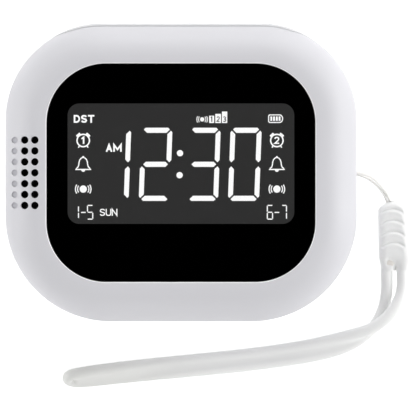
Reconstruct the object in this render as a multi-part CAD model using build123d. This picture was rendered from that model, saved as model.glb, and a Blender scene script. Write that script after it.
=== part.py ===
from build123d import *
import math
import os

# Bed shaker alarm clock: a palm-sized white clock with a dark display window, a
# snooze bar along its top edge, a shaking motor inside and a strap on its right side.
# It lies on its back. The origin is the centre of the flat rear face, +Z points out
# of the display, +Y to the snooze bar and +X to the strap. Lengths are millimetres.

# Case
case_width = 90.0
case_height = 76.0
case_depth = 28.0
top_corner_r = 24.45
bottom_corner_r = 27.0
front_roll = 9.8
rear_roll = 8.0
wall = 2.0
lip_height = 1.5
lip_gap = 0.1
overrun = 1.0
fit_gap = 0.05
seat_gap = 0.2

# Window, lens and display
window_land_x = 1.2
window_land_y = 0.6
window_r = 15.2
rim_chamfer = 0.4
lens_sink = 0.3
lens_thick = 1.5
lens_gap = 0.15
mask_thick = 0.1
tape_thick = 0.15
deck_thick = 2.0
deck_margin = 1.5
view_edge_x = 1.5
view_edge_y = 2.2
view_r = 3.0
view_rise = 2.3
glass_margin_x = 3.7
glass_margin_y = 10.1
glass_thick = 2.0
glass_sink = 0.15
glass_gap = 0.5
glass_edge_r = 0.6
frame_depth = 3.6
frame_side = 1.7
guide_gap = 0.3
guide_inset = 0.4
guide_thick = 2.8
strip_width = 1.2
strip_inset = 0.6
strip_end = 3.0

# Main circuit board and what it carries
board_thick = 1.6
board_side_gap = 11.8
board_edge_low = 1.7
board_edge_high = 3.2
board_corner_r = 1.5
ear_length = 5.4
ear_width = 4.6
ear_gap = 0.8
tab_width = 12.0
tab_drop = 9.1
chip_size = 10.0
chip_thick = 1.4
chip_x = -8.0
chip_y = -4.0
memory_size = 5.0
memory_x = 4.0
crystal_length = 8.0
crystal_r = 1.0
crystal_y = 2.0
plug_length = 5.6
plug_width = 4.4
plug_height = 3.0
plug_y = 13.0
plug_xs_share = (-0.6, -0.3, 0.35)
capacitor_r = 2.5
capacitor_height = 4.6
capacitor_gap = 4.0
capacitor_y = -12.0

# Screws
small_screw_r = 0.8
small_head_r = 1.5
small_head_height = 0.9
small_grip = 3.2
small_boss_r = 1.9
case_screw_r = 1.0
case_head_r = 1.9
case_head_height = 1.3
case_screw_grip = 4.5
case_screw_inset = 8.7
case_screw_top_share = 0.5526
case_screw_bottom_share = 0.5263
case_boss_r = 2.8
counterbore_r = 2.2
counterbore_depth = 5.0
drive_share = 0.5

# Speaker grille and speaker
grille_hole_r = 0.9
grille_inset = 7.9
grille_column_pitch = 2.6
grille_row_pitch = 2.77
grille_open_columns = 2
dimple_depth = 0.9
duct_inset = 3.4
duct_width = 5.9
duct_side_gap = 0.2
duct_wall = 1.0
duct_lift = 0.1
gasket_thick = 0.8
speaker_width = 8.0
speaker_inset = 10.7
speaker_ear_gap = 1.8
speaker_under_gap = 2.14
speaker_depth_share = 0.67
speaker_r = 2.4
cone_margin = 1.0
cone_thick = 0.25
cone_rise = 0.6

# Snooze bar
bar_end_gap = 11.6
bar_on_rolls = 2.4
bar_raise = 0.4
bar_gap = 0.15
bar_skin = 1.6
bar_skirt = 1.3
bar_flange = 1.0
bar_lap = 1.2
bar_travel = 0.6
stem_width = 6.0
stem_thick = 3.0
stem_reach = 6.3
snooze_body = 6.0
snooze_body_height = 3.5
snooze_body_reach = 4.2
snooze_plunger_r = 1.0
plunger_grip = 1.4

# Rear keys and lock slider
recess_end_gap = 13.0
recess_width = 11.0
recess_depth = 1.0
recess_r = 5.0
key_drop = 17.5
key_pitch_share = 0.125
key_end_share = 0.6875
key_length_share = 0.775
key_width = 4.2
key_sink = 0.3
key_edge_r = 0.35
key_gap = 0.15
key_lap = 0.7
key_flange = 0.8
key_lift = 0.1
key_travel = 0.3
key_names = ("clock_key", "alarm_1_key", "alarm_2_key", "down_key", "up_key", "level_key")
key_board_z = 6.4
key_board_thick = 1.0
key_switch_size = 4.5
key_switch_height = 1.5
key_plunger_r = 1.1
key_plunger_grip = 0.7
slider_travel_share = 0.375
slider_length_share = 0.55
slider_width = 3.2
slider_flange = 0.6
slider_flange_lap = 0.8
slider_rib_count = 3
slider_rib_depth = 0.3
lever_length_share = 0.175
lever_width = 1.2
lever_grip = 1.2
lock_switch_share = 1.175
lock_switch_width = 4.0
lock_switch_height = 1.8

# Charging socket
usb_width = 8.94
usb_height = 3.26
usb_length = 7.3
usb_metal = 0.3
usb_sink = 0.4
usb_y = 0.0
usb_gap = 0.2
tongue_width = 6.7
tongue_thick = 0.7
tongue_reach = 5.6
tongue_root = 1.4
leg_inset = 2.5
leg_width = 10.5
leg_below = 6.0
board_strip_below = 6.9
board_strip_above = 7.5
board_strip_inset = 12.0
key_boss_inset = 13.8
key_boss_above = 5.5
leg_boss_inset = 7.6
leg_boss_above = 10.0

# Battery
cell_inset = 14.0
cell_foot_gap = 15.0
cell_top_gap = 6.0
cell_motor_gap = 16.0
cell_board_gap = 7.6
cell_edge_r = 1.5
pad_thick = 1.0
pad_inset = 4.0
tab_board_width = 3.0
tab_board_thick = 1.6

# Shaking motor
motor_floor_gap = 0.6
motor_top_gap = 1.0
motor_side_gap = 1.5
motor_key_gap = 3.0
can_r = 10.0
can_low_y = -15.0
end_cap_length = 2.0
end_cap_inset = 0.5
boss_ring_r = 3.0
boss_ring_length = 1.0
shaft_r = 1.0
shaft_reach = 12.0
bearing_gap = 0.03
weight_inset = 0.5
weight_length = 8.0
weight_hub_r = 2.8
weight_stand_off = 1.0
saddle_thick = 2.0
saddle_drop = 2.1
saddle_side = 1.5
saddle_inset = 2.0
clamp_width = 6.0
clamp_thick = 0.5
clamp_inset = 6.5
clamp_foot = 4.6
clamp_drop = 0.7
clamp_boss_r = 2.0

# Strap anchor and strap
anchor_y = 0.0
anchor_z = 8.5
anchor_pin_inset = 1.8
anchor_pin_r = 0.9
pocket_half_y = 1.8
pocket_half_z = 2.8
pocket_depth = 4.6
pocket_wall = 1.4
strand_r = 1.5
thin_r = 0.35
strand_gap = 0.05
route_side_x = 45.0
sleeve_reach = 9.85
sleeve_y = -16.1
sleeve_tilt = 2.65
sleeve_length = 18.2
sleeve_width = 7.7
sleeve_thick = 5.2
sleeve_round = 2.2
sleeve_top_r = 3.4
sleeve_bottom_r = 2.4
sleeve_trim = 1.3
groove_r = 4.5
groove_width = 0.8
groove_depth = 0.5
groove_half_span = 3.1
groove_first = 2.2
groove_pitch = 2.9
groove_count = 4

# Route of the strap loop, from one end inside the sleeve round the fold and back
loop_route = [
    (53.05, -20.6, 2.6),
    (53.30, -26.0, 2.6),
    (53.35, -31.4, 2.0),
    (52.30, -36.3, 1.6),
    (49.70, -40.5, 1.5),
    (45.50, -43.9, 1.5),
    (39.80, -46.3, 1.5),
    (31.00, -48.1, 1.5),
    (20.00, -49.6, 1.5),
    (7.50, -50.9, 1.5),
    (-5.50, -52.1, 1.5),
    (-15.50, -53.0, 1.5),
    (-22.50, -53.7, 1.5),
    (-27.00, -54.1, 1.5),
    (-28.90, -53.5, 3.35),
    (-28.90, -52.7, 5.98),
    (-27.00, -52.1, 7.83),
    (-21.60, -51.05, 7.4),
    (-13.00, -49.8, 5.0),
    (-3.50, -48.7, 2.3),
    (6.50, -47.7, 1.5),
    (18.00, -46.5, 1.5),
    (29.00, -45.1, 1.55),
    (37.50, -43.4, 2.1),
    (43.60, -41.8, 3.4),
    (48.20, -40.4, 4.8),
    (51.80, -37.8, 4.95),
    (54.60, -34.6, 4.3),
    (56.60, -30.8, 3.1),
    (57.00, -26.0, 2.6),
    (56.75, -20.6, 2.6),
]

# Route of the thin cord, from inside the sleeve round the anchor pin and back
thin_route = [
    (55.05, -11.8, 2.6),
    (54.75, -7.4, 2.75),
    (53.20, -4.3, 3.8),
    (51.20, -1.9, 5.4),
    (49.10, -0.5, 7.3),
    (46.80, 0.2, 9.0),
    (44.60, 0.3, 9.85),
    (42.75, 0.2, 9.95),
    (41.90, 0.1, 9.10),
    (41.90, 0.0, 7.90),
    (42.75, -0.1, 7.05),
    (44.70, -0.15, 6.85),
    (47.00, -0.8, 6.35),
    (49.40, -2.4, 5.2),
    (51.50, -4.4, 3.9),
    (53.30, -7.0, 2.8),
    (54.00, -11.8, 2.6),
]
arc_share = 0.45

# Places and levels that follow from the sizes above
case_top_y = case_height / 2
case_side_x = case_width / 2
parting_z = case_depth / 2
window_width = case_width - 2 * (front_roll + window_land_x)
window_height = case_height - 2 * (front_roll + window_land_y)
glass_width = window_width - 2 * glass_margin_x
glass_height = window_height - 2 * glass_margin_y
view_width = glass_width - 2 * view_edge_x
view_height = glass_height - 2 * view_edge_y
lens_top_z = case_depth - lens_sink
lens_low_z = lens_top_z - lens_thick
mask_low_z = lens_low_z - mask_thick
deck_top_z = mask_low_z - tape_thick
deck_low_z = deck_top_z - deck_thick
glass_top_z = deck_top_z - glass_sink
glass_low_z = glass_top_z - glass_thick
board_top_z = glass_low_z - frame_depth
board_low_z = board_top_z - board_thick
opening_width = glass_width + 2 * glass_gap
opening_height = glass_height + 2 * glass_gap
board_half_width = case_side_x - board_side_gap
board_low = view_rise - glass_height / 2 - frame_side - board_edge_low
board_high = view_rise + glass_height / 2 + board_edge_high
tab_high = case_top_y - tab_drop
case_screw_x = case_side_x - case_screw_inset
case_screw_top_y = case_top_y * case_screw_top_share
case_screw_bottom_y = -case_top_y * case_screw_bottom_share
case_screw_length = parting_z - counterbore_depth + case_screw_grip
ear_reach = board_half_width + ear_length
ear_y = -case_screw_bottom_y - case_boss_r - ear_gap - ear_width / 2
snooze_z = board_low_z - snooze_body_height / 2
stem_low_y = case_top_y - stem_reach
bar_length = case_width - 2 * bar_end_gap
bar_width = case_depth - front_roll - rear_roll + bar_on_rolls
recess_length = case_width - 2 * recess_end_gap
key_y = case_top_y - key_drop
key_pitch = recess_length * key_pitch_share
key_length = key_pitch * key_length_share
key_first_x = -recess_length / 2 + key_pitch * key_end_share
key_floor_z = recess_depth + wall
key_flange_z = key_floor_z + key_lift
key_board_top_z = key_board_z + key_board_thick
slider_travel = key_pitch * slider_travel_share
slider_length = key_pitch * slider_length_share
slider_x = key_first_x + len(key_names) * key_pitch + slider_travel / 2
lever_length = key_pitch * lever_length_share
lock_switch_length = key_pitch * lock_switch_share
usb_z = key_board_top_z + usb_height / 2
leg_left_x = -case_side_x + leg_inset
leg_right_x = leg_left_x + leg_width
leg_low_y = usb_y - leg_below
board_strip_low_y = key_y - board_strip_below
board_strip_high_y = key_y + board_strip_above
board_strip_half = case_side_x - board_strip_inset
duct_left_x = -case_side_x + duct_inset
duct_right_x = duct_left_x + duct_width
duct_low_z = board_top_z + duct_lift
speaker_length = 2 * (ear_y - ear_width / 2 - speaker_ear_gap)
duct_half_y = speaker_length / 2 + duct_side_gap
grille_x = -case_side_x + grille_inset
grille_rows = 1 + 2 * int((duct_half_y - grille_hole_r) / grille_row_pitch)
speaker_x = -case_side_x + speaker_inset - speaker_width / 2
speaker_top_z = duct_low_z - gasket_thick
speaker_room = speaker_top_z - (usb_z + usb_height / 2) - speaker_under_gap
speaker_depth = speaker_room * speaker_depth_share
magnet_depth = speaker_room - speaker_depth
speaker_low_z = speaker_top_z - speaker_depth
can_flat = (board_low_z - wall - motor_floor_gap - motor_top_gap) / 2
weight_r = can_flat - weight_inset
motor_x = case_screw_x - case_boss_r - motor_side_gap - weight_r
motor_z = wall + motor_floor_gap + can_flat
can_length = key_y - recess_width / 2 - wall - motor_key_gap - end_cap_length - can_low_y
saddle_half_width = can_r + saddle_side
saddle_height = motor_z - wall - saddle_drop
saddle_low_y = can_low_y + saddle_inset
saddle_high_y = can_low_y + can_length - saddle_inset
clamp_y = can_low_y + clamp_inset
clamp_foot_z = motor_z - clamp_drop
clamp_half = can_r + clamp_thick + clamp_foot / 2 + seat_gap
cell_left_x = -case_side_x + cell_inset
cell_low_y = -case_top_y + cell_foot_gap
cell_length = motor_x - cell_motor_gap - cell_left_x
cell_width = key_y - recess_width / 2 - wall - cell_top_gap - cell_low_y
cell_thick = board_low_z - wall - pad_thick - cell_board_gap
capacitor_x = motor_x - can_r - capacitor_r - capacitor_gap
anchor_pin_x = case_side_x - anchor_pin_inset
sleeve_x = case_side_x + sleeve_reach
case_screw_places = [
    (side * case_screw_x, y) for side in (-1, 1) for y in (case_screw_bottom_y, case_screw_top_y)
]
ear_places = [(side * (ear_reach - ear_width / 2), y) for side in (-1, 1) for y in (-ear_y, ear_y)]
key_boss_places = [
    (-case_side_x + key_boss_inset, key_y + key_boss_above),
    (case_side_x - key_boss_inset, key_y + key_boss_above),
    (-case_side_x + leg_boss_inset, usb_y + leg_boss_above),
]
clamp_places = [(motor_x - clamp_half, clamp_y), (motor_x + clamp_half, clamp_y)]


def slab(sketch, low_z, high_z):
    """A flat outline made into a slab between two levels."""
    return extrude(Pos(0, 0, low_z) * sketch, amount=high_z - low_z)


def rounded_bar(x_span, y_span, z_span):
    """A plain box between two corners."""
    size = (x_span[1] - x_span[0], y_span[1] - y_span[0], z_span[1] - z_span[0])
    low = (x_span[0], y_span[0], z_span[0])
    return Pos(*low) * Box(*size, align=(Align.MIN, Align.MIN, Align.MIN))


def post(x, y, radius, low_z, high_z):
    """An upright round post or hole."""
    grip = (Align.CENTER, Align.CENTER, Align.MIN)
    return Pos(x, y, low_z) * Cylinder(radius, high_z - low_z, align=grip)


def rod_along_y(x, z, radius, low_y, high_y):
    """A round bar along Y."""
    body = Cylinder(radius, high_y - low_y, align=(Align.CENTER, Align.CENTER, Align.MIN))
    return Pos(x, high_y, z) * Rot(90, 0, 0) * body


def case_outline(grow):
    """The case seen from the front, grown or shrunk by a wall."""
    face = Rectangle(case_width + 2 * grow, case_height + 2 * grow)
    top = [corner for corner in face.vertices() if corner.Y > 0]
    face = fillet(top, top_corner_r + grow)
    bottom = [corner for corner in face.vertices().group_by(Axis.Y)[0]]
    return fillet(bottom, bottom_corner_r + grow)


def case_block(grow):
    """The solid pebble of the case, with its front and rear edges rolled."""
    block = slab(case_outline(grow), -grow, case_depth + grow)
    block = fillet(block.faces().sort_by(Axis.Z)[-1].edges(), front_roll + grow)
    return fillet(block.faces().sort_by(Axis.Z)[0].edges(), rear_roll + grow)


def stadium_prism(grow):
    """The snooze bar's plan, standing on the top edge of the case."""
    plan = Plane(origin=(0, 0, parting_z), x_dir=(1, 0, 0), z_dir=(0, 1, 0))
    shape = plan * SlotOverall(bar_length + 2 * grow, bar_width + 2 * grow)
    return extrude(shape, amount=case_height)


def half_space(low_z, high_z):
    """Everything between two levels, for splitting the case."""
    span = case_width + 2 * overrun
    tall = case_height + 2 * overrun
    return rounded_bar((-span / 2, span / 2), (-tall / 2, tall / 2), (low_z, high_z))


outer_block = case_block(0)
cavity_block = case_block(-wall)
lip_mid = wall / 2


def screw_hole_set(places, radius, low_z, high_z):
    """Equal upright posts or holes at several places."""
    return [post(x, y, radius, low_z, high_z) for x, y in places]


def recess_outline(grow):
    """The shallow tray round the rear keys."""
    tray = RectangleRounded(recess_length + 2 * grow, recess_width + 2 * grow, recess_r + grow)
    return Pos(0, key_y) * tray


def key_places():
    """Centres of the row of keys."""
    return [(key_first_x + place * key_pitch, key_y) for place in range(len(key_names))]


def key_pill(grow):
    """Outline of one key."""
    return SlotOverall(key_length + 2 * grow, key_width + 2 * grow)


def slider_slot():
    """The opening that the lock slider travels in."""
    length = slider_length + slider_travel + 2 * key_gap
    return Pos(slider_x + slider_travel / 2, key_y) * Rectangle(length, slider_width + 2 * key_gap)


def usb_outline(grow):
    """The charging socket's mouth, looking along X."""
    plane = Plane(origin=(0, usb_y, usb_z), x_dir=(0, 1, 0), z_dir=(-1, 0, 0))
    return plane * SlotOverall(usb_width + 2 * grow, usb_height + 2 * grow)


def usb_prism(grow, right_x, left_x):
    """The socket's outline run along X between two places."""
    return Pos(right_x, 0, 0) * extrude(usb_outline(grow), amount=right_x - left_x)


def anchor_pocket():
    """The small pocket in the right side that the strap's thin cord goes into."""
    x_span = (case_side_x - pocket_depth, case_side_x + overrun)
    y_span = (anchor_y - pocket_half_y, anchor_y + pocket_half_y)
    z_span = (anchor_z - pocket_half_z, anchor_z + pocket_half_z)
    return rounded_bar(x_span, y_span, z_span)


def anchor_housing():
    """The closed block behind the pocket."""
    reach_y = pocket_half_y + pocket_wall
    reach_z = pocket_half_z + pocket_wall
    x_span = (case_side_x - pocket_depth - pocket_wall, case_side_x)
    y_span = (anchor_y - reach_y, anchor_y + reach_y)
    z_span = (anchor_z - reach_z, anchor_z + reach_z)
    return rounded_bar(x_span, y_span, z_span)


def anchor_pin():
    """The moulded pin across the pocket."""
    reach = pocket_half_y + pocket_wall / 2
    return rod_along_y(anchor_pin_x, anchor_z, anchor_pin_r, anchor_y - reach, anchor_y + reach)


def motor_section(grow):
    """The can's flattened round section, looking along the shaft."""
    plane = Plane(origin=(motor_x, 0, motor_z), x_dir=(1, 0, 0), z_dir=(0, 1, 0))
    flats = Rectangle(2 * (can_r + grow + overrun), 2 * (can_flat + grow))
    return plane * (Circle(can_r + grow) & flats)


def motor_prism(grow, low_y, high_y):
    """The can's section run along the shaft between two places."""
    return Pos(0, low_y, 0) * extrude(motor_section(grow), amount=high_y - low_y)


def motor_saddles():
    """Two ribs on the rear shell that the motor lies in."""
    saddles = []
    for y in (saddle_low_y, saddle_high_y):
        x_span = (motor_x - saddle_half_width, motor_x + saddle_half_width)
        rib = rounded_bar(x_span, (y, y + saddle_thick), (wall - fit_gap, wall + saddle_height))
        saddles.append(rib - motor_prism(fit_gap, y - overrun, y + saddle_thick + overrun))
    return saddles


def rear_shell():
    """Rear half of the case, with the key tray, screw wells, ribs and strap anchor."""
    shell = (outer_block & half_space(-overrun, parting_z)) - cavity_block
    step = case_block(-lip_mid - lip_gap / 2) - cavity_block
    shell += step & half_space(parting_z - fit_gap, parting_z + lip_height)
    pad = slab(recess_outline(wall), wall - fit_gap, key_floor_z)
    shell += pad & outer_block
    for boss in screw_hole_set(case_screw_places, case_boss_r, wall - fit_gap, parting_z):
        shell += boss & outer_block
    for boss in screw_hole_set(key_boss_places, small_boss_r, wall - fit_gap, key_board_z):
        shell += boss
    for boss in screw_hole_set(clamp_places, clamp_boss_r, wall - fit_gap, clamp_foot_z):
        shell += boss
    for rib in motor_saddles():
        shell += rib
    shell += anchor_housing() & outer_block & half_space(0, parting_z)
    shell -= anchor_pocket()
    shell += anchor_pin()
    shell -= slab(recess_outline(0), -overrun, recess_depth)
    for x, y in key_places():
        shell -= Pos(x, y) * slab(key_pill(key_gap), 0, key_floor_z + overrun)
    shell -= slab(slider_slot(), 0, key_floor_z + overrun)
    shell -= usb_prism(usb_gap, -case_side_x + pocket_depth, -case_side_x - overrun)
    for well in screw_hole_set(case_screw_places, counterbore_r, -overrun, counterbore_depth):
        shell -= well
    for hole in screw_hole_set(case_screw_places, case_screw_r + seat_gap, 0, parting_z + overrun):
        shell -= hole
    pilot_r = small_screw_r + fit_gap
    for hole in screw_hole_set(key_boss_places, pilot_r, key_board_z - small_grip, key_board_z + overrun):
        shell -= hole
    for hole in screw_hole_set(clamp_places, pilot_r, clamp_foot_z - small_grip, clamp_foot_z + overrun):
        shell -= hole
    shell -= stadium_prism(bar_gap)
    shell -= stadium_prism(bar_lap + bar_gap) & cavity_block
    return shell


def window_cutter():
    """Recess for the lens, with a chamfered rim."""
    face = RectangleRounded(window_width, window_height, window_r)
    recess = slab(face, deck_top_z, case_depth + overrun)
    flare = Pos(0, 0, case_depth - rim_chamfer) * extrude(face, amount=2 * rim_chamfer, taper=-45)
    return recess + flare


def grille_cutter():
    """Two columns of through holes and one column of blind dimples."""
    holes = []
    for column in range(grille_open_columns + 1):
        x = grille_x - column * grille_column_pitch
        for row in range(grille_rows):
            y = (row - (grille_rows - 1) / 2) * grille_row_pitch
            hole = post(x, y, grille_hole_r, duct_low_z, case_depth)
            if column == grille_open_columns:
                hole -= case_block(-dimple_depth)
            holes.append(hole)
    return holes


def speaker_duct():
    """Walls that carry the sound from the speaker to the grille."""
    outer_left = -case_side_x + wall / 2
    outer_right = duct_right_x + duct_wall
    outer_y = duct_half_y + duct_wall
    z_span = (duct_low_z, case_depth)
    tube = rounded_bar((outer_left, outer_right), (-outer_y, outer_y), z_span)
    hollow_z = (duct_low_z - overrun, case_depth + overrun)
    tube -= rounded_bar((duct_left_x, duct_right_x), (-duct_half_y, duct_half_y), hollow_z)
    return tube & case_block(-wall / 2)


def front_shell():
    """Front half of the case, with the window, lens seat, grille and screw bosses."""
    shell = (outer_block & half_space(parting_z, case_depth + overrun)) - cavity_block
    shell -= case_block(-lip_mid) & half_space(parting_z - overrun, parting_z + lip_height + lip_gap)
    inner = case_block(-wall / 2)
    grow = 2 * deck_margin
    deck = RectangleRounded(window_width + grow, window_height + grow, window_r + deck_margin)
    shell += slab(deck, deck_low_z, case_depth - wall + fit_gap) & inner
    low_z = parting_z + lip_height + 2 * lip_gap
    for boss in screw_hole_set(case_screw_places, case_boss_r, parting_z + lip_gap, case_depth):
        shell += boss & inner
    for boss in screw_hole_set(ear_places, small_boss_r, board_top_z, case_depth):
        shell += boss & inner
    shell += speaker_duct()
    opening = Pos(0, view_rise) * RectangleRounded(opening_width, opening_height, glass_edge_r)
    shell -= slab(opening, low_z, case_depth)
    shell -= window_cutter()
    for hole in grille_cutter():
        shell -= hole
    pilot_top = counterbore_depth + case_screw_length + overrun
    for hole in screw_hole_set(case_screw_places, case_screw_r + fit_gap, parting_z, pilot_top):
        shell -= hole
    pilot_r = small_screw_r + fit_gap
    for hole in screw_hole_set(ear_places, pilot_r, board_low_z, board_top_z + small_grip):
        shell -= hole
    shell -= stadium_prism(bar_gap)
    shell -= stadium_prism(bar_lap + bar_gap) & cavity_block
    return shell


def lens_panel():
    """Clear front panel, domed at no place, with softened edges."""
    width = window_width - 2 * lens_gap
    height = window_height - 2 * lens_gap
    panel = slab(RectangleRounded(width, height, window_r - lens_gap), lens_low_z, lens_top_z)
    return chamfer(panel.faces().sort_by(Axis.Z)[-1].edges(), lens_sink)


def lens_mask():
    """Black print on the back of the panel, open over the display."""
    width = window_width - 2 * lens_gap
    height = window_height - 2 * lens_gap
    sheet = RectangleRounded(width, height, window_r - lens_gap)
    sheet -= Pos(0, view_rise) * RectangleRounded(view_width, view_height, view_r)
    return slab(sheet, mask_low_z, lens_low_z)


def lens_tape():
    """Adhesive ring between the panel and the case's lens seat."""
    width = window_width - 2 * lens_gap
    height = window_height - 2 * lens_gap
    ring = RectangleRounded(width, height, window_r - lens_gap)
    ring -= Pos(0, view_rise) * RectangleRounded(opening_width, opening_height, glass_edge_r)
    return slab(ring, deck_top_z, mask_low_z)


def lcd_cell():
    """Display glass, a stepped pair of plates."""
    step = strip_width + 2 * strip_inset
    lower = Rectangle(glass_width, glass_height)
    upper = Rectangle(glass_width, glass_height - 2 * step)
    cell = slab(upper, glass_low_z, glass_low_z + glass_thick / 2)
    cell += slab(lower, glass_low_z + glass_thick / 2, glass_top_z)
    return Pos(0, view_rise, 0) * cell


def strip_offset():
    """Distance of each contact strip from the display's middle line."""
    return glass_height / 2 - strip_inset - strip_width / 2


def strip_outline(grow):
    """One contact strip seen from the front."""
    length = glass_width - 2 * strip_end
    return Rectangle(length + 2 * grow, strip_width + 2 * grow)


def contact_strips():
    """Two rubber strips that join the glass to the board."""
    strips = []
    for side in (-1, 1):
        body = slab(strip_outline(0), board_top_z, glass_low_z + glass_thick / 2)
        strips.append(Pos(0, view_rise + side * strip_offset(), 0) * body)
    return strips


def guide_size(grow):
    """Width and height of the light guide, with room round it."""
    return (view_width + 2 * grow, view_height - 2 * guide_inset + 2 * grow)


def display_frame():
    """White frame that holds the glass, the light guide and the contact strips."""
    outer = Rectangle(glass_width + 2 * frame_side, glass_height + 2 * frame_side)
    body = slab(outer, board_top_z, glass_low_z)
    body -= slab(Rectangle(*guide_size(guide_gap)), board_top_z, glass_low_z)
    for side in (-1, 1):
        body -= Pos(0, side * strip_offset(), 0) * slab(strip_outline(fit_gap), board_top_z, glass_low_z)
    return Pos(0, view_rise, 0) * body


def light_guide():
    """Clear slab that spreads the backlight."""
    body = slab(Rectangle(*guide_size(0)), board_top_z, board_top_z + guide_thick)
    return Pos(0, view_rise, 0) * body


def main_board_outline():
    """Board with four ears for its screws and a tab for the snooze switch."""
    width = 2 * board_half_width
    height = board_high - board_low
    shape = Pos(0, (board_high + board_low) / 2) * RectangleRounded(width, height, board_corner_r)
    for side in (-1, 1):
        shape += Pos(0, side * ear_y) * Rectangle(2 * ear_reach, ear_width)
    middle = (board_low + tab_high) / 2
    shape += Pos(0, middle) * Rectangle(tab_width, tab_high - board_low)
    return shape


def main_board():
    """Main circuit board."""
    board = slab(main_board_outline(), board_low_z, board_top_z)
    for hole in screw_hole_set(ear_places, small_screw_r + seat_gap, board_low_z, board_top_z):
        board -= hole
    return board


def main_board_parts():
    """Chips, crystal, capacitor and plug sockets on the back of the board."""
    pieces = []
    low_z = board_low_z - chip_thick
    for size, x in ((chip_size, chip_x), (memory_size, memory_x)):
        pieces.append(Pos(x, chip_y) * slab(Rectangle(size, size), low_z, board_low_z))
    crystal = rod_along_y(chip_x, board_low_z - crystal_r, crystal_r, crystal_y, crystal_y + crystal_length)
    pieces.append(crystal)
    pieces.append(post(capacitor_x, capacitor_y, capacitor_r, board_low_z - capacitor_height, board_low_z))
    for share in plug_xs_share:
        socket = slab(Rectangle(plug_length, plug_width), board_low_z - plug_height, board_low_z)
        pieces.append(Pos(share * board_half_width, plug_y) * socket)
    return pieces


def screw(x, y, head_z, direction, head_r, head_height, shank_r, length):
    """A pan-head screw; direction is +1 where its shank points to +Z."""
    head = post(0, 0, head_r, -head_height, 0)
    slot = drive_share * head_height
    cross = Rectangle(head_r, slot) + Rectangle(slot, head_r)
    head -= slab(cross, -head_height, -head_height + slot)
    body = head + post(0, 0, shank_r, -fit_gap, length)
    if direction < 0:
        body = Rot(180, 0, 0) * body
    return Pos(x, y, head_z) * body


def board_screws():
    """Small screws of the main board, the key board and the motor clamp."""
    size = (small_head_r, small_head_height, small_screw_r)
    screws = []
    for x, y in ear_places:
        screws.append(screw(x, y, board_low_z, 1, *size, board_thick + small_grip - seat_gap))
    for x, y in key_boss_places:
        screws.append(screw(x, y, key_board_top_z, -1, *size, key_board_thick + small_grip - seat_gap))
    for x, y in clamp_places:
        top_z = clamp_foot_z + clamp_thick
        screws.append(screw(x, y, top_z, -1, *size, clamp_thick + small_grip - seat_gap))
    return screws


def case_screws():
    """Four screws that hold the two shells together."""
    size = (case_head_r, case_head_height, case_screw_r)
    return [screw(x, y, counterbore_depth, 1, *size, case_screw_length) for x, y in case_screw_places]


def snooze_bar():
    """Long push bar over the top edge, kept in by a flange under the case wall."""
    plan = stadium_prism(0)
    hollow = stadium_prism(-bar_skirt)
    reach = wall + 2 * lip_gap + bar_flange
    skin = (case_block(bar_raise) - case_block(-bar_skin)) & plan
    skirt = (case_block(-bar_skin + fit_gap) - case_block(-reach)) & (plan - hollow)
    ring = case_block(-wall - 2 * lip_gap) - case_block(-reach)
    flange = ring & (stadium_prism(bar_lap) - hollow)
    stem_z = (snooze_z - stem_thick / 2, snooze_z + stem_thick / 2)
    stem_y = (stem_low_y, case_top_y - bar_skin + fit_gap)
    stem = rounded_bar((-stem_width / 2, stem_width / 2), stem_y, stem_z)
    return skin + skirt + flange + stem


def snooze_switch():
    """Side-acting switch under the board's tab."""
    x_span = (-snooze_body / 2, snooze_body / 2)
    low_y = tab_high - snooze_body_reach
    body = rounded_bar(x_span, (low_y, tab_high), (board_low_z - snooze_body_height, board_low_z))
    depth = plunger_grip + bar_travel + seat_gap
    r = snooze_plunger_r + fit_gap
    return body - rod_along_y(0, snooze_z, r, tab_high - depth, tab_high + overrun)


def snooze_plunger():
    """The switch's plunger, which moves with the bar."""
    return rod_along_y(0, snooze_z, snooze_plunger_r, tab_high - plunger_grip, stem_low_y)


def rear_key(x, y):
    """One rear key: a pill-shaped cap with a flange behind the tray's floor."""
    cap = slab(key_pill(0), key_sink, key_flange_z)
    cap = fillet(cap.faces().sort_by(Axis.Z)[0].edges(), key_edge_r)
    cap += slab(key_pill(key_lap), key_flange_z, key_flange_z + key_flange)
    return Pos(x, y, 0) * cap


def key_plunger(x, y):
    """The plunger of one key's switch, which moves with the key."""
    top_z = key_board_z - key_switch_height + key_plunger_grip
    return post(x, y, key_plunger_r, key_flange_z + key_flange, top_z)


def key_switches():
    """Six small push switches on the key board."""
    bodies = []
    low_z = key_board_z - key_switch_height
    for x, y in key_places():
        body = Pos(x, y) * slab(Rectangle(key_switch_size, key_switch_size), low_z, key_board_z)
        top_z = low_z + key_plunger_grip + key_travel + seat_gap
        bodies.append(body - post(x, y, key_plunger_r + fit_gap, low_z, top_z))
    return bodies


def lock_slider():
    """Lock knob with grip ribs and a flange that always covers its slot."""
    cap = rounded_bar(
        (slider_x - slider_length / 2, slider_x + slider_length / 2),
        (key_y - slider_width / 2, key_y + slider_width / 2),
        (key_sink, key_flange_z),
    )
    groove = slider_length / (2 * slider_rib_count + 1)
    for place in range(slider_rib_count):
        low_x = slider_x - slider_length / 2 + (2 * place + 1) * groove
        y_span = (key_y - slider_width / 2, key_y + slider_width / 2)
        cap -= rounded_bar((low_x, low_x + groove), y_span, (key_sink, key_sink + slider_rib_depth))
    flange_length = slider_length + 2 * slider_travel
    flange_width = slider_width + 2 * slider_flange_lap
    flange = Pos(slider_x, key_y) * Rectangle(flange_length, flange_width)
    cap += slab(flange, key_flange_z, key_flange_z + slider_flange)
    pocket = Pos(slider_x, key_y) * Rectangle(lever_length + 2 * fit_gap, lever_width + 2 * fit_gap)
    return cap - slab(pocket, key_floor_z - lever_grip, key_flange_z + slider_flange)


def lock_lever():
    """The slide switch's lever, held in the knob's pocket."""
    outline = Pos(slider_x, key_y) * Rectangle(lever_length, lever_width)
    low_z = key_floor_z - lever_grip
    return slab(outline, low_z, key_board_z - lock_switch_height + lever_grip)


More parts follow.
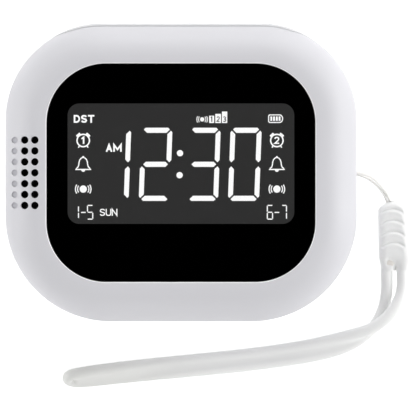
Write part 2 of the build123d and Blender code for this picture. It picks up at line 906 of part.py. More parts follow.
def lock_switch():
    """Slide switch on the key board, slotted for its lever."""
    middle = slider_x + slider_travel / 2
    low_z = key_board_z - lock_switch_height
    body = Pos(middle, key_y) * slab(Rectangle(lock_switch_length, lock_switch_width), low_z, key_board_z)
    length = lever_length + slider_travel + 2 * fit_gap
    slot = Pos(middle, key_y) * Rectangle(length, lever_width + 2 * fit_gap)
    return body - slab(slot, low_z, low_z + lever_grip + fit_gap)


def key_board():
    """L-shaped board with the key switches along the top and the socket on its leg."""
    height = board_strip_high_y - board_strip_low_y
    middle = (board_strip_high_y + board_strip_low_y) / 2
    shape = Pos(0, middle) * Rectangle(2 * board_strip_half, height)
    leg_top = board_strip_low_y + small_boss_r
    leg_middle = ((leg_left_x + leg_right_x) / 2, (leg_top + leg_low_y) / 2)
    shape += Pos(*leg_middle) * Rectangle(leg_right_x - leg_left_x, leg_top - leg_low_y)
    board = slab(shape, key_board_z, key_board_top_z) & case_block(-wall - seat_gap)
    for hole in screw_hole_set(key_boss_places, small_screw_r + seat_gap, key_board_z, key_board_top_z):
        board -= hole
    for x, y in case_screw_places:
        board -= post(x, y, case_boss_r + seat_gap, key_board_z, key_board_top_z)
    return board


def usb_shell():
    """Metal sleeve of the charging socket, open at its mouth."""
    left_x = -case_side_x + usb_sink
    right_x = left_x + usb_length
    shell = usb_prism(0, right_x, left_x)
    return shell - usb_prism(-usb_metal, right_x - usb_metal, left_x - overrun)


def usb_tongue():
    """Contact tongue and its root inside the socket."""
    mouth_x = -case_side_x + usb_sink
    back_x = mouth_x + usb_length - usb_metal
    y_span = (usb_y - tongue_width / 2, usb_y + tongue_width / 2)
    z_span = (usb_z - tongue_thick / 2, usb_z + tongue_thick / 2)
    tongue = rounded_bar((back_x - tongue_reach, back_x), y_span, z_span)
    return tongue + usb_prism(-usb_metal - fit_gap, back_x, back_x - tongue_root)


def battery_cell():
    """Flat pouch cell with its small protection board."""
    x_span = (cell_left_x, cell_left_x + cell_length - tab_board_width)
    y_span = (cell_low_y, cell_low_y + cell_width)
    low_z = wall + pad_thick
    body = rounded_bar(x_span, y_span, (low_z, low_z + cell_thick))
    body = fillet(body.edges().filter_by(Axis.Y), cell_edge_r)
    tab_z = (low_z + (cell_thick - tab_board_thick) / 2, low_z + (cell_thick + tab_board_thick) / 2)
    tab_y = (cell_low_y + pad_inset, cell_low_y + cell_width - pad_inset)
    return body + rounded_bar((x_span[1] - fit_gap, x_span[1] + tab_board_width), tab_y, tab_z)


def battery_pad():
    """Foam pad under the cell."""
    x_span = (cell_left_x + pad_inset, cell_left_x + cell_length - pad_inset - tab_board_width)
    y_span = (cell_low_y + pad_inset, cell_low_y + cell_width - pad_inset)
    return rounded_bar(x_span, y_span, (wall, wall + pad_thick))


def motor_can():
    """Steel can of the motor, with the bearing ring at its front."""
    high_y = can_low_y + can_length
    can = motor_prism(0, can_low_y, high_y)
    can += rod_along_y(motor_x, motor_z, boss_ring_r, can_low_y - boss_ring_length, can_low_y + fit_gap)
    bore_r = shaft_r + bearing_gap
    return can - rod_along_y(motor_x, motor_z, bore_r, can_low_y - overrun - boss_ring_length, high_y)


def motor_end_cap():
    """Plastic end cap with the rear bearing."""
    low_y = can_low_y + can_length
    cap = motor_prism(-end_cap_inset, low_y, low_y + end_cap_length)
    bore_r = shaft_r + bearing_gap
    return cap - rod_along_y(motor_x, motor_z, bore_r, low_y, low_y + end_cap_length - end_cap_inset)


def motor_shaft():
    """Steel shaft through the can, out to the weight."""
    low_y = can_low_y - shaft_reach
    high_y = can_low_y + can_length + end_cap_length - end_cap_inset - fit_gap
    return rod_along_y(motor_x, motor_z, shaft_r, low_y, high_y)


def motor_weight():
    """Half-round eccentric weight, hanging down at rest."""
    high_y = can_low_y - boss_ring_length - weight_stand_off
    low_y = high_y - weight_length
    disc = rod_along_y(motor_x, motor_z, weight_r, low_y, high_y)
    x_span = (motor_x - weight_r, motor_x + weight_r)
    half = rounded_bar(x_span, (low_y, high_y), (motor_z - weight_r, motor_z))
    hub = rod_along_y(motor_x, motor_z, weight_hub_r, low_y, high_y)
    weight = (disc & half) + hub
    return weight - rod_along_y(motor_x, motor_z, shaft_r, low_y, high_y)


def motor_clamp():
    """Steel strap over the motor with a foot at each side."""
    low_y = clamp_y - clamp_width / 2
    high_y = clamp_y + clamp_width / 2
    strap = motor_prism(seat_gap + clamp_thick, low_y, high_y)
    strap -= motor_prism(seat_gap, low_y, high_y)
    reach = can_r + seat_gap + clamp_thick
    keep = rounded_bar((motor_x - reach, motor_x + reach), (low_y, high_y), (clamp_foot_z, case_depth))
    strap &= keep
    for side in (-1, 1):
        start = motor_x + side * (can_r + seat_gap)
        end = motor_x + side * (clamp_half + clamp_foot / 2)
        x_span = (min(start, end), max(start, end))
        foot_z = (clamp_foot_z, clamp_foot_z + clamp_thick)
        strap += rounded_bar(x_span, (low_y, high_y), foot_z) - motor_prism(seat_gap, low_y, high_y)
    for hole in screw_hole_set(clamp_places, small_screw_r + seat_gap, clamp_foot_z, board_low_z):
        strap -= hole
    return strap


def speaker_gasket():
    """Foam ring between the speaker and the duct."""
    outer = speaker_outline(0)
    inner = speaker_outline(-cone_margin)
    return slab(outer - inner, speaker_top_z, duct_low_z)


def speaker_outline(grow):
    """The speaker seen from the front."""
    face = RectangleRounded(speaker_width + 2 * grow, speaker_length + 2 * grow, speaker_r + grow)
    return Pos(speaker_x, 0) * face


def speaker_basket():
    """Plastic frame of the speaker."""
    basket = slab(speaker_outline(0), speaker_low_z, speaker_top_z)
    cone_low_z = speaker_top_z - cone_rise - cone_thick
    basket -= slab(speaker_outline(-cone_margin), cone_low_z, speaker_top_z)
    hollow = speaker_outline(-2 * cone_margin)
    return basket - slab(hollow, speaker_low_z, speaker_top_z)


def speaker_cone():
    """Thin sound membrane."""
    low_z = speaker_top_z - cone_rise - cone_thick
    return slab(speaker_outline(-cone_margin - fit_gap), low_z, low_z + cone_thick)


def speaker_magnet():
    """Magnet and yoke below the membrane."""
    top_z = speaker_top_z - cone_rise - cone_thick - seat_gap
    width = speaker_width - 2 * (2 * cone_margin + fit_gap)
    length = speaker_length - 2 * (2 * cone_margin + fit_gap)
    body = Pos(speaker_x, 0) * RectangleRounded(width, length, speaker_r - 2 * cone_margin)
    return slab(body, speaker_low_z - magnet_depth, top_z)


def grille_mesh():
    """Dust cloth glued over the duct's mouth, inside the case wall."""
    sheet = rounded_bar(
        (duct_left_x + fit_gap, duct_right_x - fit_gap),
        (-duct_half_y + fit_gap, duct_half_y - fit_gap),
        (duct_low_z, case_depth),
    )
    return sheet & (case_block(-wall - fit_gap) - case_block(-wall - fit_gap - cone_thick))


def laid(route):
    """A route's points, moved along with the case side that the strap hangs from."""
    return [(x + case_side_x - route_side_x, y, z) for x, y, z in route]


def turn_between(before, here, after):
    """Angle by which a route turns at a point, in radians."""
    first = Vector(*here) - Vector(*before)
    second = Vector(*after) - Vector(*here)
    return math.radians(first.get_angle(second))


def cord_tube(name, route, radius):
    """A round cord: straight runs joined by tangent arcs as large as the runs allow."""
    radii = []
    for before, here, after in zip(route, route[1:], route[2:]):
        shorter = min((Vector(*here) - Vector(*before)).length, (Vector(*after) - Vector(*here)).length)
        radii.append(arc_share * shorter / math.tan(turn_between(before, here, after) / 2))
    print(name, "bend radii", [round(value, 1) for value in radii])
    path = FilletPolyline(*route, radius=radii)
    section = Plane(origin=path @ 0, z_dir=path % 0) * Circle(radius)
    tube = sweep(section, path=path)
    expected = math.pi * radius**2 * path.length
    print(name, "length", round(path.length, 1), "volume share", round(tube.volume / expected, 4))
    return tube


def sleeve_place(shape):
    """Turns and moves a shape from the sleeve's own frame to where it lies."""
    return Pos(sleeve_x, sleeve_y, sleeve_thick / 2) * Rot(0, 0, sleeve_tilt) * shape


def sleeve_blank():
    """Soft moulded block of the sleeve, rounded all round."""
    height = sleeve_length + sleeve_trim
    face = Rectangle(sleeve_width, height)
    top = [corner for corner in face.vertices() if corner.Y > 0]
    face = fillet(top, sleeve_top_r)
    face = fillet(face.vertices().group_by(Axis.Y)[0], sleeve_bottom_r)
    block = slab(face, -sleeve_thick / 2, sleeve_thick / 2)
    rims = block.faces().sort_by(Axis.Z)
    block = fillet(rims[0].edges() + rims[-1].edges(), sleeve_round)
    block = Pos(0, -sleeve_trim / 2, 0) * block
    half = sleeve_length / 2
    keep = rounded_bar(
        (-sleeve_width, sleeve_width), (-half, sleeve_length), (-sleeve_thick, sleeve_thick)
    )
    return block & keep


def cord_bore(end, beside, radius):
    """The hole that one end of a cord lies in, run on past the mouth."""
    run = Vector(*beside) - Vector(*end)
    plane = Plane(origin=end, z_dir=run)
    return extrude(plane * Circle(radius), amount=run.length + overrun)


def sleeve_grooves():
    """Bowed grip grooves on both faces of the sleeve."""
    grooves = []
    reach = Rectangle(2 * groove_half_span, 2 * groove_r)
    for place in range(groove_count):
        top_y = sleeve_length / 2 - groove_first - place * groove_pitch
        ring = Circle(groove_r + groove_width / 2) - Circle(groove_r - groove_width / 2)
        band = Pos(0, top_y - groove_r) * (ring & (Pos(0, groove_r) * reach))
        low = sleeve_thick / 2 - groove_depth
        grooves.append(slab(band, low, sleeve_thick))
        grooves.append(slab(band, -sleeve_thick, -low))
    return grooves


def strap_sleeve():
    """Sleeve that joins the thin cord to the two strands of the strap."""
    body = sleeve_blank()
    for groove in sleeve_grooves():
        body -= groove
    body = sleeve_place(body)
    for route, radius in ((laid(loop_route), strand_r), (laid(thin_route), thin_r)):
        for end, beside in ((route[0], route[1]), (route[-1], route[-2])):
            body -= cord_bore(end, beside, radius + strand_gap)
    return body


def write_part(name, shape):
    """Writes one node as a single STEP file."""
    solids = []
    for piece in shape if isinstance(shape, list) else [shape]:
        solids.extend(piece.solids())
    whole = solids[0] if len(solids) == 1 else Compound(children=solids)
    whole.label = name
    export_step(whole, os.path.join("parts", name + ".step"))


def main():
    os.makedirs("parts", exist_ok=True)
    single = (
        rear_shell, front_shell, lens_panel, lens_mask, lens_tape, display_frame, lcd_cell,
        light_guide, contact_strips, main_board, main_board_parts, board_screws, case_screws,
        snooze_bar, snooze_switch, snooze_plunger, key_switches, lock_slider, lock_lever,
        lock_switch, key_board, usb_shell, usb_tongue, battery_cell, battery_pad, motor_can,
        motor_end_cap, motor_shaft, motor_weight, motor_clamp, speaker_gasket, speaker_basket,
        speaker_cone, speaker_magnet, grille_mesh, strap_sleeve,
    )
    for make in single:
        write_part(make.__name__, make())
    for name, (x, y) in zip(key_names, key_places()):
        write_part(name, rear_key(x, y))
        write_part(name.replace("_key", "_plunger"), key_plunger(x, y))
    write_part("strap_cord", cord_tube("strap_cord", laid(thin_route), thin_r))
    write_part("strap_loop", cord_tube("strap_loop", laid(loop_route), strand_r))


main()
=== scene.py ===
import math
import bpy
import bmesh
import numpy as np
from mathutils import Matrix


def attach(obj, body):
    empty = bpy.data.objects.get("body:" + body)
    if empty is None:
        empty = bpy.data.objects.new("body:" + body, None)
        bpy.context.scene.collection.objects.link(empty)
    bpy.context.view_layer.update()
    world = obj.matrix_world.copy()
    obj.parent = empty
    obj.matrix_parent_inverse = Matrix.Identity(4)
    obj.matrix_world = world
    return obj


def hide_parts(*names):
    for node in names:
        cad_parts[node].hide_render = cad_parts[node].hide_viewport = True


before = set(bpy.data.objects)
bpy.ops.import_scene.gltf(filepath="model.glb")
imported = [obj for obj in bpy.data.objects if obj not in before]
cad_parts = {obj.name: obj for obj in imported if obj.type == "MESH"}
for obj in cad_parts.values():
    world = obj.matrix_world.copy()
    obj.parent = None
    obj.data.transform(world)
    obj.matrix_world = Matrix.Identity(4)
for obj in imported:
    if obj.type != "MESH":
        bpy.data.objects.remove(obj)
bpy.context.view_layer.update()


# Camera. The clock lies on its back and the photograph looks straight down on it from about
# a metre, a little to the strap's side, with the snooze bar at the top of the picture.
def new_object(name, data):
    """An object at the origin, linked into the scene."""
    made = bpy.data.objects.new(name, data)
    bpy.context.scene.collection.objects.link(made)
    return made


camera_data = bpy.data.cameras.new("camera")
camera_data.sensor_width = 36.0
camera_data.lens = 336.0
camera_data.clip_start = 0.05
camera_data.clip_end = 20.0
camera = new_object("camera", camera_data)
camera.location = (0.00687, -0.00896, 1.013)
bpy.context.scene.camera = camera


# Wrist strap. One long loop of soft white silicone cord, 3 mm thick, with both ends moulded
# into the sleeve. It lies on the table and folds back on itself at its far left end.
def fill(node, *ports, **values):
    """Sets a node's settings and inputs; an input takes a number, a colour or a link.

    Ports go to the inputs in order, and each value to the setting or the input of its name.
    """
    inputs = list(enumerate(ports))
    for key, value in values.items():
        if hasattr(node, key):
            setattr(node, key, value)
        else:
            inputs.append((key.replace("_", " "), value))
    for place, value in inputs:
        if isinstance(value, bpy.types.NodeSocket):
            node.id_data.links.new(value, node.inputs[place])
        else:
            node.inputs[place].default_value = value
    return node


def add_node(tree, kind, *ports, **values):
    """A new shader node of one kind, filled in."""
    return fill(tree.nodes.new("ShaderNode" + kind), *ports, **values)


def calc(tree, operation, *ports):
    """The result of one sum, such as ADD or MAXIMUM, on numbers or other nodes' outputs."""
    return add_node(tree, "Math", *ports, operation=operation).outputs[0]


def blend(tree, factor, first, second, **settings):
    """A mix of two colours by a factor."""
    mix = add_node(tree, "Mix", data_type="RGBA", Factor=factor, A=first, B=second, **settings)
    return mix.outputs["Result"]


def place_parts(tree, kind):
    """The X, Y and Z of the place on the surface, in one kind of coordinates."""
    return add_node(tree, "SeparateXYZ", add_node(tree, "TexCoord").outputs[kind]).outputs


def surface_noise(tree, **values):
    """A noise from 0 to 1 on the piece's Object coordinates."""
    place = add_node(tree, "TexCoord").outputs["Object"]
    return add_node(tree, "TexNoise", Vector=place, **values).outputs["Fac"]


def relief(tree, height, distance, strength=1.0):
    """The normal of a surface that a height raises and sinks."""
    return add_node(tree, "Bump", Height=height, Distance=distance, Strength=strength).outputs["Normal"]


def effect_group(name, inputs, outputs):
    """An empty shader group: its tree, the outputs of its start and the node at its end."""
    tree = bpy.data.node_groups.new(name, "ShaderNodeTree")
    for label, value in inputs.items():
        kind = "NodeSocketColor" if isinstance(value, tuple) else "NodeSocketFloat"
        tree.interface.new_socket(name=label, in_out="INPUT", socket_type=kind).default_value = value
    for label in outputs:
        kind = "NodeSocketColor" if label == "Colour" else "NodeSocketFloat"
        tree.interface.new_socket(name=label, in_out="OUTPUT", socket_type=kind)
    return tree, tree.nodes.new("NodeGroupInput").outputs, tree.nodes.new("NodeGroupOutput")


def moulded_grain():
    """Fine skin of a moulded part: broad cloudiness and a grain, as a mask and a height.

    cloud = noise(p * Cloud Scale), grain = noise(p * Grain Scale) on Object coordinates;
    colour = mix(Colour, Shade Colour, cloud * Cloud Amount);
    roughness = Roughness + (cloud - 0.5) * Roughness Spread; height = grain.
    """
    tree, start, end = effect_group("moulded_grain", {
        "Colour": (0.8, 0.8, 0.8, 1.0), "Shade Colour": (0.7, 0.7, 0.7, 1.0), "Cloud Scale": 60.0,
        "Cloud Amount": 0.3, "Grain Scale": 6000.0, "Roughness": 0.5, "Roughness Spread": 0.1,
    }, ("Colour", "Roughness", "Height"))
    cloud = surface_noise(tree, Scale=start["Cloud Scale"], Detail=3.0, Roughness=0.55)
    grain = surface_noise(tree, Scale=start["Grain Scale"], Detail=2.0, Roughness=0.6)
    amount = calc(tree, "MULTIPLY", cloud, start["Cloud Amount"])
    centred = calc(tree, "SUBTRACT", cloud, 0.5)
    rough = calc(tree, "MULTIPLY_ADD", centred, start["Roughness Spread"], start["Roughness"])
    colour = blend(tree, amount, start["Colour"], start["Shade Colour"])
    fill(end, Colour=colour, Roughness=rough, Height=grain)
    return tree


grain_group = moulded_grain()


def new_material(name, **values):
    """A material and its Principled shader, whose own sockets are filled in."""
    material = bpy.data.materials.new(name)
    material.use_nodes = True
    return material, fill(material.node_tree.nodes["Principled BSDF"], **values)


def moulded(name, colour, shade, roughness, spread=0.08, cloud=60.0, amount=0.35, grain=6000.0,
            bump=0.000004, **sockets):
    """A material whose colour, roughness and bump come from the moulded grain."""
    material, shader = new_material(name, **sockets)
    effect = add_node(
        material.node_tree, "Group", node_tree=grain_group, Colour=(*colour, 1.0),
        Shade_Colour=(*shade, 1.0), Cloud_Scale=cloud, Cloud_Amount=amount, Grain_Scale=grain,
        Roughness=roughness, Roughness_Spread=spread,
    ).outputs
    normal = relief(material.node_tree, effect["Height"], bump)
    fill(shader, Base_Color=effect["Colour"], Roughness=effect["Roughness"], Normal=normal)
    return material


def paint_end_shade(material, unshaded_x, shaded_x, shade_tint):
    """Paints shade into a material, darkening it towards the strap's folded free end.

    share = (unshaded_x - x) / (unshaded_x - shaded_x), held between 0 and 1 and eased, on Object
    coordinates; colour = colour * mix(white, tint, share).
    """
    tree = material.node_tree
    shader = tree.nodes["Principled BSDF"]
    share = add_node(tree, "MapRange", place_parts(tree, "Object")["X"], From_Min=unshaded_x, From_Max=shaded_x,
                     interpolation_type="SMOOTHSTEP").outputs["Result"]
    unshaded_colour = shader.inputs["Base Color"].links[0].from_socket
    fill(shader, Base_Color=blend(tree, share, unshaded_colour, (*shade_tint, 1.0), blend_type="MULTIPLY"))


strap_silicone = moulded(
    "strap_silicone", (0.965, 0.968, 0.962), (0.93, 0.934, 0.926), 0.46, spread=0.10, cloud=90.0,
    grain=3500.0, bump=0.000006, Sheen_Weight=0.08, Sheen_Roughness=0.4,
)
# Painted shade: the strap's colour darkens towards its folded left end.
paint_end_shade(strap_silicone, 0.020, -0.034, (0.84, 0.84, 0.82))
strand_thick = 0.0030
loop_points = np.array([
    (53.15, -20.6, 2.6), (53.40, -26.0, 2.6), (53.45, -31.4, 2.0), (52.40, -36.3, 1.6),
    (49.80, -40.5, 1.5), (45.60, -43.9, 1.5), (39.80, -46.4, 1.5), (31.00, -48.2, 1.5),
    (20.00, -49.7, 1.5), (7.50, -51.0, 1.5), (-5.50, -52.2, 1.5), (-15.50, -53.15, 1.5),
    (-22.50, -53.9, 1.5), (-27.30, -54.3, 1.55), (-29.50, -53.7, 2.7), (-29.50, -52.6, 5.0),
    (-27.30, -51.85, 6.3), (-21.60, -51.0, 5.4), (-13.00, -50.0, 3.5), (-3.50, -49.1, 1.9),
    (6.50, -48.15, 1.5), (18.00, -46.95, 1.5), (29.00, -45.45, 1.55), (37.50, -43.7, 2.1),
    (43.60, -42.0, 3.4), (48.70, -40.7, 4.8), (52.70, -38.1, 4.95), (55.60, -34.8, 4.3),
    (57.40, -30.8, 3.1), (57.55, -26.0, 2.6), (57.10, -20.6, 2.6),
]) / 1000


def laid_cord(name, points, thick, material):
    """A round cord on one smooth NURBS curve of order 3 whose control points are the route."""
    curve = bpy.data.curves.new(name, "CURVE")
    curve.dimensions = "3D"
    curve.bevel_depth = thick / 2
    curve.bevel_resolution = 7
    curve.use_fill_caps = True
    curve.resolution_u = 12
    curve.render_resolution_u = 12
    spline = curve.splines.new("NURBS")
    spline.points.add(len(points) - 1)
    spline.points.foreach_set("co", np.column_stack([points, np.ones(len(points))]).ravel())
    spline.order_u = 3
    spline.use_endpoint_u = True
    curve.materials.append(material)
    return new_object(name, curve)


strap = laid_cord("strap_band", loop_points, strand_thick, strap_silicone)
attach(strap, "case")
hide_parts("strap_loop")

# Thin hanging cord. A doubled polyester cord, 0.7 mm thick, tied into the sleeve and passed
# round the pin in the pocket on the case's right side.
thin_points = np.array([
    (54.85, -11.8, 2.6), (54.50, -7.5, 2.75), (52.95, -4.6, 3.8), (50.98, -2.3, 5.4),
    (48.95, -0.8, 7.3), (46.80, 0.0, 9.0), (44.60, 0.2, 9.85), (42.75, 0.2, 9.95),
    (41.90, 0.1, 9.10), (41.90, 0.0, 7.90), (42.75, -0.1, 7.05), (44.70, -0.15, 6.85),
    (47.00, -0.6, 6.45), (49.50, -2.0, 5.4), (51.75, -4.2, 4.0), (53.60, -6.9, 2.8),
    (54.10, -11.8, 2.6),
]) / 1000
thin_thick = 0.0007


def braid_group():
    """Braided cord from the curve's own UV: two crossing sets of slanted threads, with painted shade in the
    gaps between them.

    threads = sin(2 pi (U * Pitches + V * Strands)) and the same with V turned round;
    height = the larger of the two; colour = mix(Colour, Gap Colour, 1 - height).
    """
    tree, start, end = effect_group("cord_braid", {
        "Colour": (0.8, 0.8, 0.8, 1.0), "Gap Colour": (0.5, 0.5, 0.5, 1.0), "Pitches": 60.0, "Strands": 4.0,
    }, ("Colour", "Height"))
    place = place_parts(tree, "UV")
    along = calc(tree, "MULTIPLY", place["X"], start["Pitches"])
    around = calc(tree, "MULTIPLY", place["Y"], start["Strands"])
    waves = []
    for way in ("ADD", "SUBTRACT"):
        slant = calc(tree, way, along, around)
        waves.append(calc(tree, "SINE", calc(tree, "MULTIPLY", slant, 2 * math.pi)))
    height = add_node(tree, "MapRange", calc(tree, "MAXIMUM", *waves), From_Min=-1.0).outputs["Result"]
    fill(end, Colour=blend(tree, height, start["Gap Colour"], start["Colour"]), Height=height)
    return tree


thin_polyester, thin_shader = new_material("thin_cord_polyester", Roughness=0.65)
# Painted shade: the braid's gaps take a darker colour where the threads sink.
thin_braid = add_node(
    thin_polyester.node_tree, "Group", node_tree=braid_group(), Colour=(0.97, 0.965, 0.94, 1.0),
    Gap_Colour=(0.90, 0.885, 0.84, 1.0), Pitches=36.0, Strands=3.0,
).outputs
thin_normal = relief(thin_polyester.node_tree, thin_braid["Height"], 0.00002, strength=0.6)
fill(thin_shader, Base_Color=thin_braid["Colour"], Normal=thin_normal)
thin_cord = laid_cord("thin_cord", thin_points, thin_thick, thin_polyester)
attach(thin_cord, "case")
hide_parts("strap_cord")

# Sleeve. A soft silicone grip moulded over both cords, with four bowed grooves on each face.
# Its lower end flows into the two strands, with a small hollow where the left one starts.
sleeve_centre = (0.05527, -0.0161, 0.0026)
sleeve_turn = math.radians(2.65)
sleeve_half_length = 0.0091
sleeve_half_width = 0.00418
sleeve_half_thick = 0.0026
sleeve_taper = 0.00040
sleeve_taper_start = -0.0045
sleeve_edge_r = 0.0022
sleeve_top_r = 0.0031
groove_tops = 0.0069 - 0.0029 * np.arange(4)
groove_x = -0.00045
groove_r = 0.0045
groove_half_run = 0.0028
groove_fade = 0.00020
groove_depth = 0.00042
groove_width = 0.00036
lip_height = 0.00010
lip_width = 0.0005
lip_offset = 0.0008
fork_start = -0.0052
fork_half = 0.00195
fork_lobe_r = 0.00162
cleft_x = 0.00015
cleft_width = 0.00075
cleft_share = 0.62
hollow_centre = (-0.0014, -0.0066)
hollow_half = (0.0011, 0.0010)
hollow_depth = 0.00095
end_round_share = 0.98
corner_share = 0.999
face_share = 0.55
face_start = 0.6
sink_most_share = 0.85
weld = 0.0000005


def new_mesh(name, points, faces):
    """A mesh from its points, in any array of threes, and its faces."""
    mesh = bpy.data.meshes.new(name)
    mesh.from_pydata(np.asarray(points).reshape(-1, 3).tolist(), [], faces)
    return mesh


def face_outward(mesh, merge=0.0):
    """Merges points that lie closer than a distance and turns all faces outward."""
    work = bmesh.new()
    work.from_mesh(mesh)
    if merge:
        bmesh.ops.remove_doubles(work, verts=work.verts, dist=merge)
        bmesh.ops.dissolve_degenerate(work, edges=work.edges, dist=merge)
    bmesh.ops.recalc_face_normals(work, faces=work.faces)
    work.to_mesh(mesh)
    work.free()


def sharpen(mesh, degrees):
    """Marks as sharp each edge whose two faces meet at more than the angle."""
    work = bmesh.new()
    work.from_mesh(mesh)
    limit = math.radians(degrees)
    for edge in work.edges:
        edge.smooth = len(edge.link_faces) == 2 and edge.calc_face_angle(0.0) < limit
    work.to_mesh(mesh)
    work.free()


def ring_faces(rows, columns, first=0, caps=True):
    """Quads between closed rings of points, and one face on the first and last ring."""
    row, column = np.meshgrid(np.arange(rows - 1), np.arange(columns), indexing="ij")
    after = (column + 1) % columns
    this_row, next_row = row * columns, (row + 1) * columns
    quads = [this_row + column, this_row + after, next_row + after, next_row + column]
    faces = (np.stack(quads, axis=-1).reshape(-1, 4) + first).tolist()
    if caps:
        faces.append((first + np.arange(columns)[::-1]).tolist())
        faces.append((first + (rows - 1) * columns + np.arange(columns)).tolist())
    return faces


def finish_mesh(name, points, material, smooth_angle=None, faces=None):
    """A smooth piece from a grid of rings, or from points and faces, welded and turned outward."""
    mesh = new_mesh(name, points, faces or ring_faces(*points.shape[:2]))
    face_outward(mesh, weld)
    mesh.polygons.foreach_set("use_smooth", np.ones(len(mesh.polygons), bool))
    if smooth_angle is not None:
        sharpen(mesh, smooth_angle)
    mesh.materials.append(material)
    return new_object(name, mesh)


def eased(share):
    """A share held between 0 and 1, with a soft start and end: 3 s^2 - 2 s^3."""
    share = np.clip(share, 0, 1)
    return share * share * (3 - 2 * share)


def sleeve_points(rows=190, columns=120, end_rows=24):
    """The sleeve's skin.

    Each station along s is a rounded rectangle of half width a(s) and half thickness b(s);
    a and b shrink over the top end as quarter circles, a widens a little downward and then
    narrows to the two strands at the fork, and the faces sink along the bowed grooves, the
    fork's cleft and the hollow. Only the upper face has the grooves' raised lips.
    """
    half = sleeve_half_length
    closing = (1 - np.cos(np.linspace(0, math.pi / 2, end_rows, endpoint=False))) * sleeve_edge_r
    s = np.concatenate([half - closing, np.linspace(half - sleeve_edge_r, -half, rows - end_rows)])
    top = np.clip(sleeve_top_r - (half - s), 0, sleeve_top_r)
    edge = np.clip(sleeve_edge_r - (half - s), 0, sleeve_edge_r)
    fall = sleeve_edge_r - np.sqrt(sleeve_edge_r**2 - edge**2 * end_round_share)
    fork = eased((fork_start - s) / (fork_start + half))
    upward = np.clip((s - sleeve_taper_start) / (half - sleeve_taper_start), 0, 1)
    wide = sleeve_half_width - sleeve_taper * upward
    a = wide - sleeve_top_r + np.sqrt(sleeve_top_r**2 - top**2) - fall
    a = a + fork * (fork_half + fork_lobe_r - wide)
    b = sleeve_half_thick - fall + fork * (fork_lobe_r - sleeve_half_thick)
    r = np.minimum(sleeve_edge_r - fork * (sleeve_edge_r - fork_lobe_r), np.minimum(a, b)) * corner_share
    u = np.arange(columns) / columns * 4
    quarter = np.floor(u).astype(int)
    arc = np.clip((u - quarter) * 2, 0, 1)
    run = np.clip((u - quarter) * 2 - 1, 0, 1)
    angle = (quarter + arc) * math.pi / 2
    corners = np.array([(1, 1), (-1, 1), (-1, -1), (1, -1)])
    along = corners[quarter] + (corners[(quarter + 1) % 4] - corners[quarter]) * run[:, None]
    x = (a - r)[:, None] * along[:, 0] + r[:, None] * np.cos(angle)
    z = (b - r)[:, None] * along[:, 1] + r[:, None] * np.sin(angle)
    y = np.repeat(s[:, None], columns, 1)
    upper = z > 0
    fade = 1 / (1 + np.exp((np.abs(x - groove_x) - groove_half_run) / groove_fade))
    sink = fork[:, None] * sleeve_half_thick * cleft_share * np.exp(-((x - cleft_x) / cleft_width) ** 2)
    bowl = ((x - hollow_centre[0]) / hollow_half[0]) ** 2 + ((y - hollow_centre[1]) / hollow_half[1]) ** 2
    sink = sink + hollow_depth * np.exp(-bowl) * upper
    for top_y in groove_tops:
        away = np.hypot(x - groove_x, y - (top_y - groove_r)) - groove_r
        dip = groove_depth * np.exp(-((away / groove_width) ** 2))
        lip = lip_height * np.exp(-(((away + lip_offset) / lip_width) ** 2)) * upper
        sink = sink + (dip - lip) * fade * (y > top_y - groove_r)
    facing = np.clip(np.abs(z) / (b[:, None] * face_share) - face_start, 0, 1)
    z = z - np.sign(z) * np.minimum(sink, np.abs(z) * sink_most_share) * facing
    cos, sin = math.cos(sleeve_turn), math.sin(sleeve_turn)
    return np.stack([x * cos - y * sin, x * sin + y * cos, z], axis=-1) + sleeve_centre


sleeve = finish_mesh("strap_grip", sleeve_points(), strap_silicone, smooth_angle=60)
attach(sleeve, "case")
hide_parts("strap_sleeve")

# Web of the strap. A thin skin of the same silicone, moulded between the two strands where
# they run side by side, so that only a soft shallow channel is left between them.
web_ends = (-0.0284, 0.0475)
web_fades = (0.0015, 0.012)
strands_part_x = 0.0505
fillet_least = 0.0011
fillet_growth = 0.0013
fillet_left_growth = 0.0070
fillet_left_start = 0.014
fillet_left_run = 0.03
tuck_run_share = 0.4
tuck_lift_share = 0.55


def line_of(cord):
    """The points along a cord's spline, from a copy of the curve that has no bevel."""
    bare = cord.data.copy()
    bare.bevel_depth = 0.0
    probe = new_object("probe", bare)
    bpy.context.view_layer.update()
    mesh = bpy.data.meshes.new_from_object(probe.evaluated_get(bpy.context.evaluated_depsgraph_get()))
    points = np.empty(len(mesh.vertices) * 3)
    mesh.vertices.foreach_get("co", points)
    bpy.data.meshes.remove(mesh)
    bpy.data.objects.remove(probe)
    bpy.data.curves.remove(bare)
    return points.reshape(-1, 3)


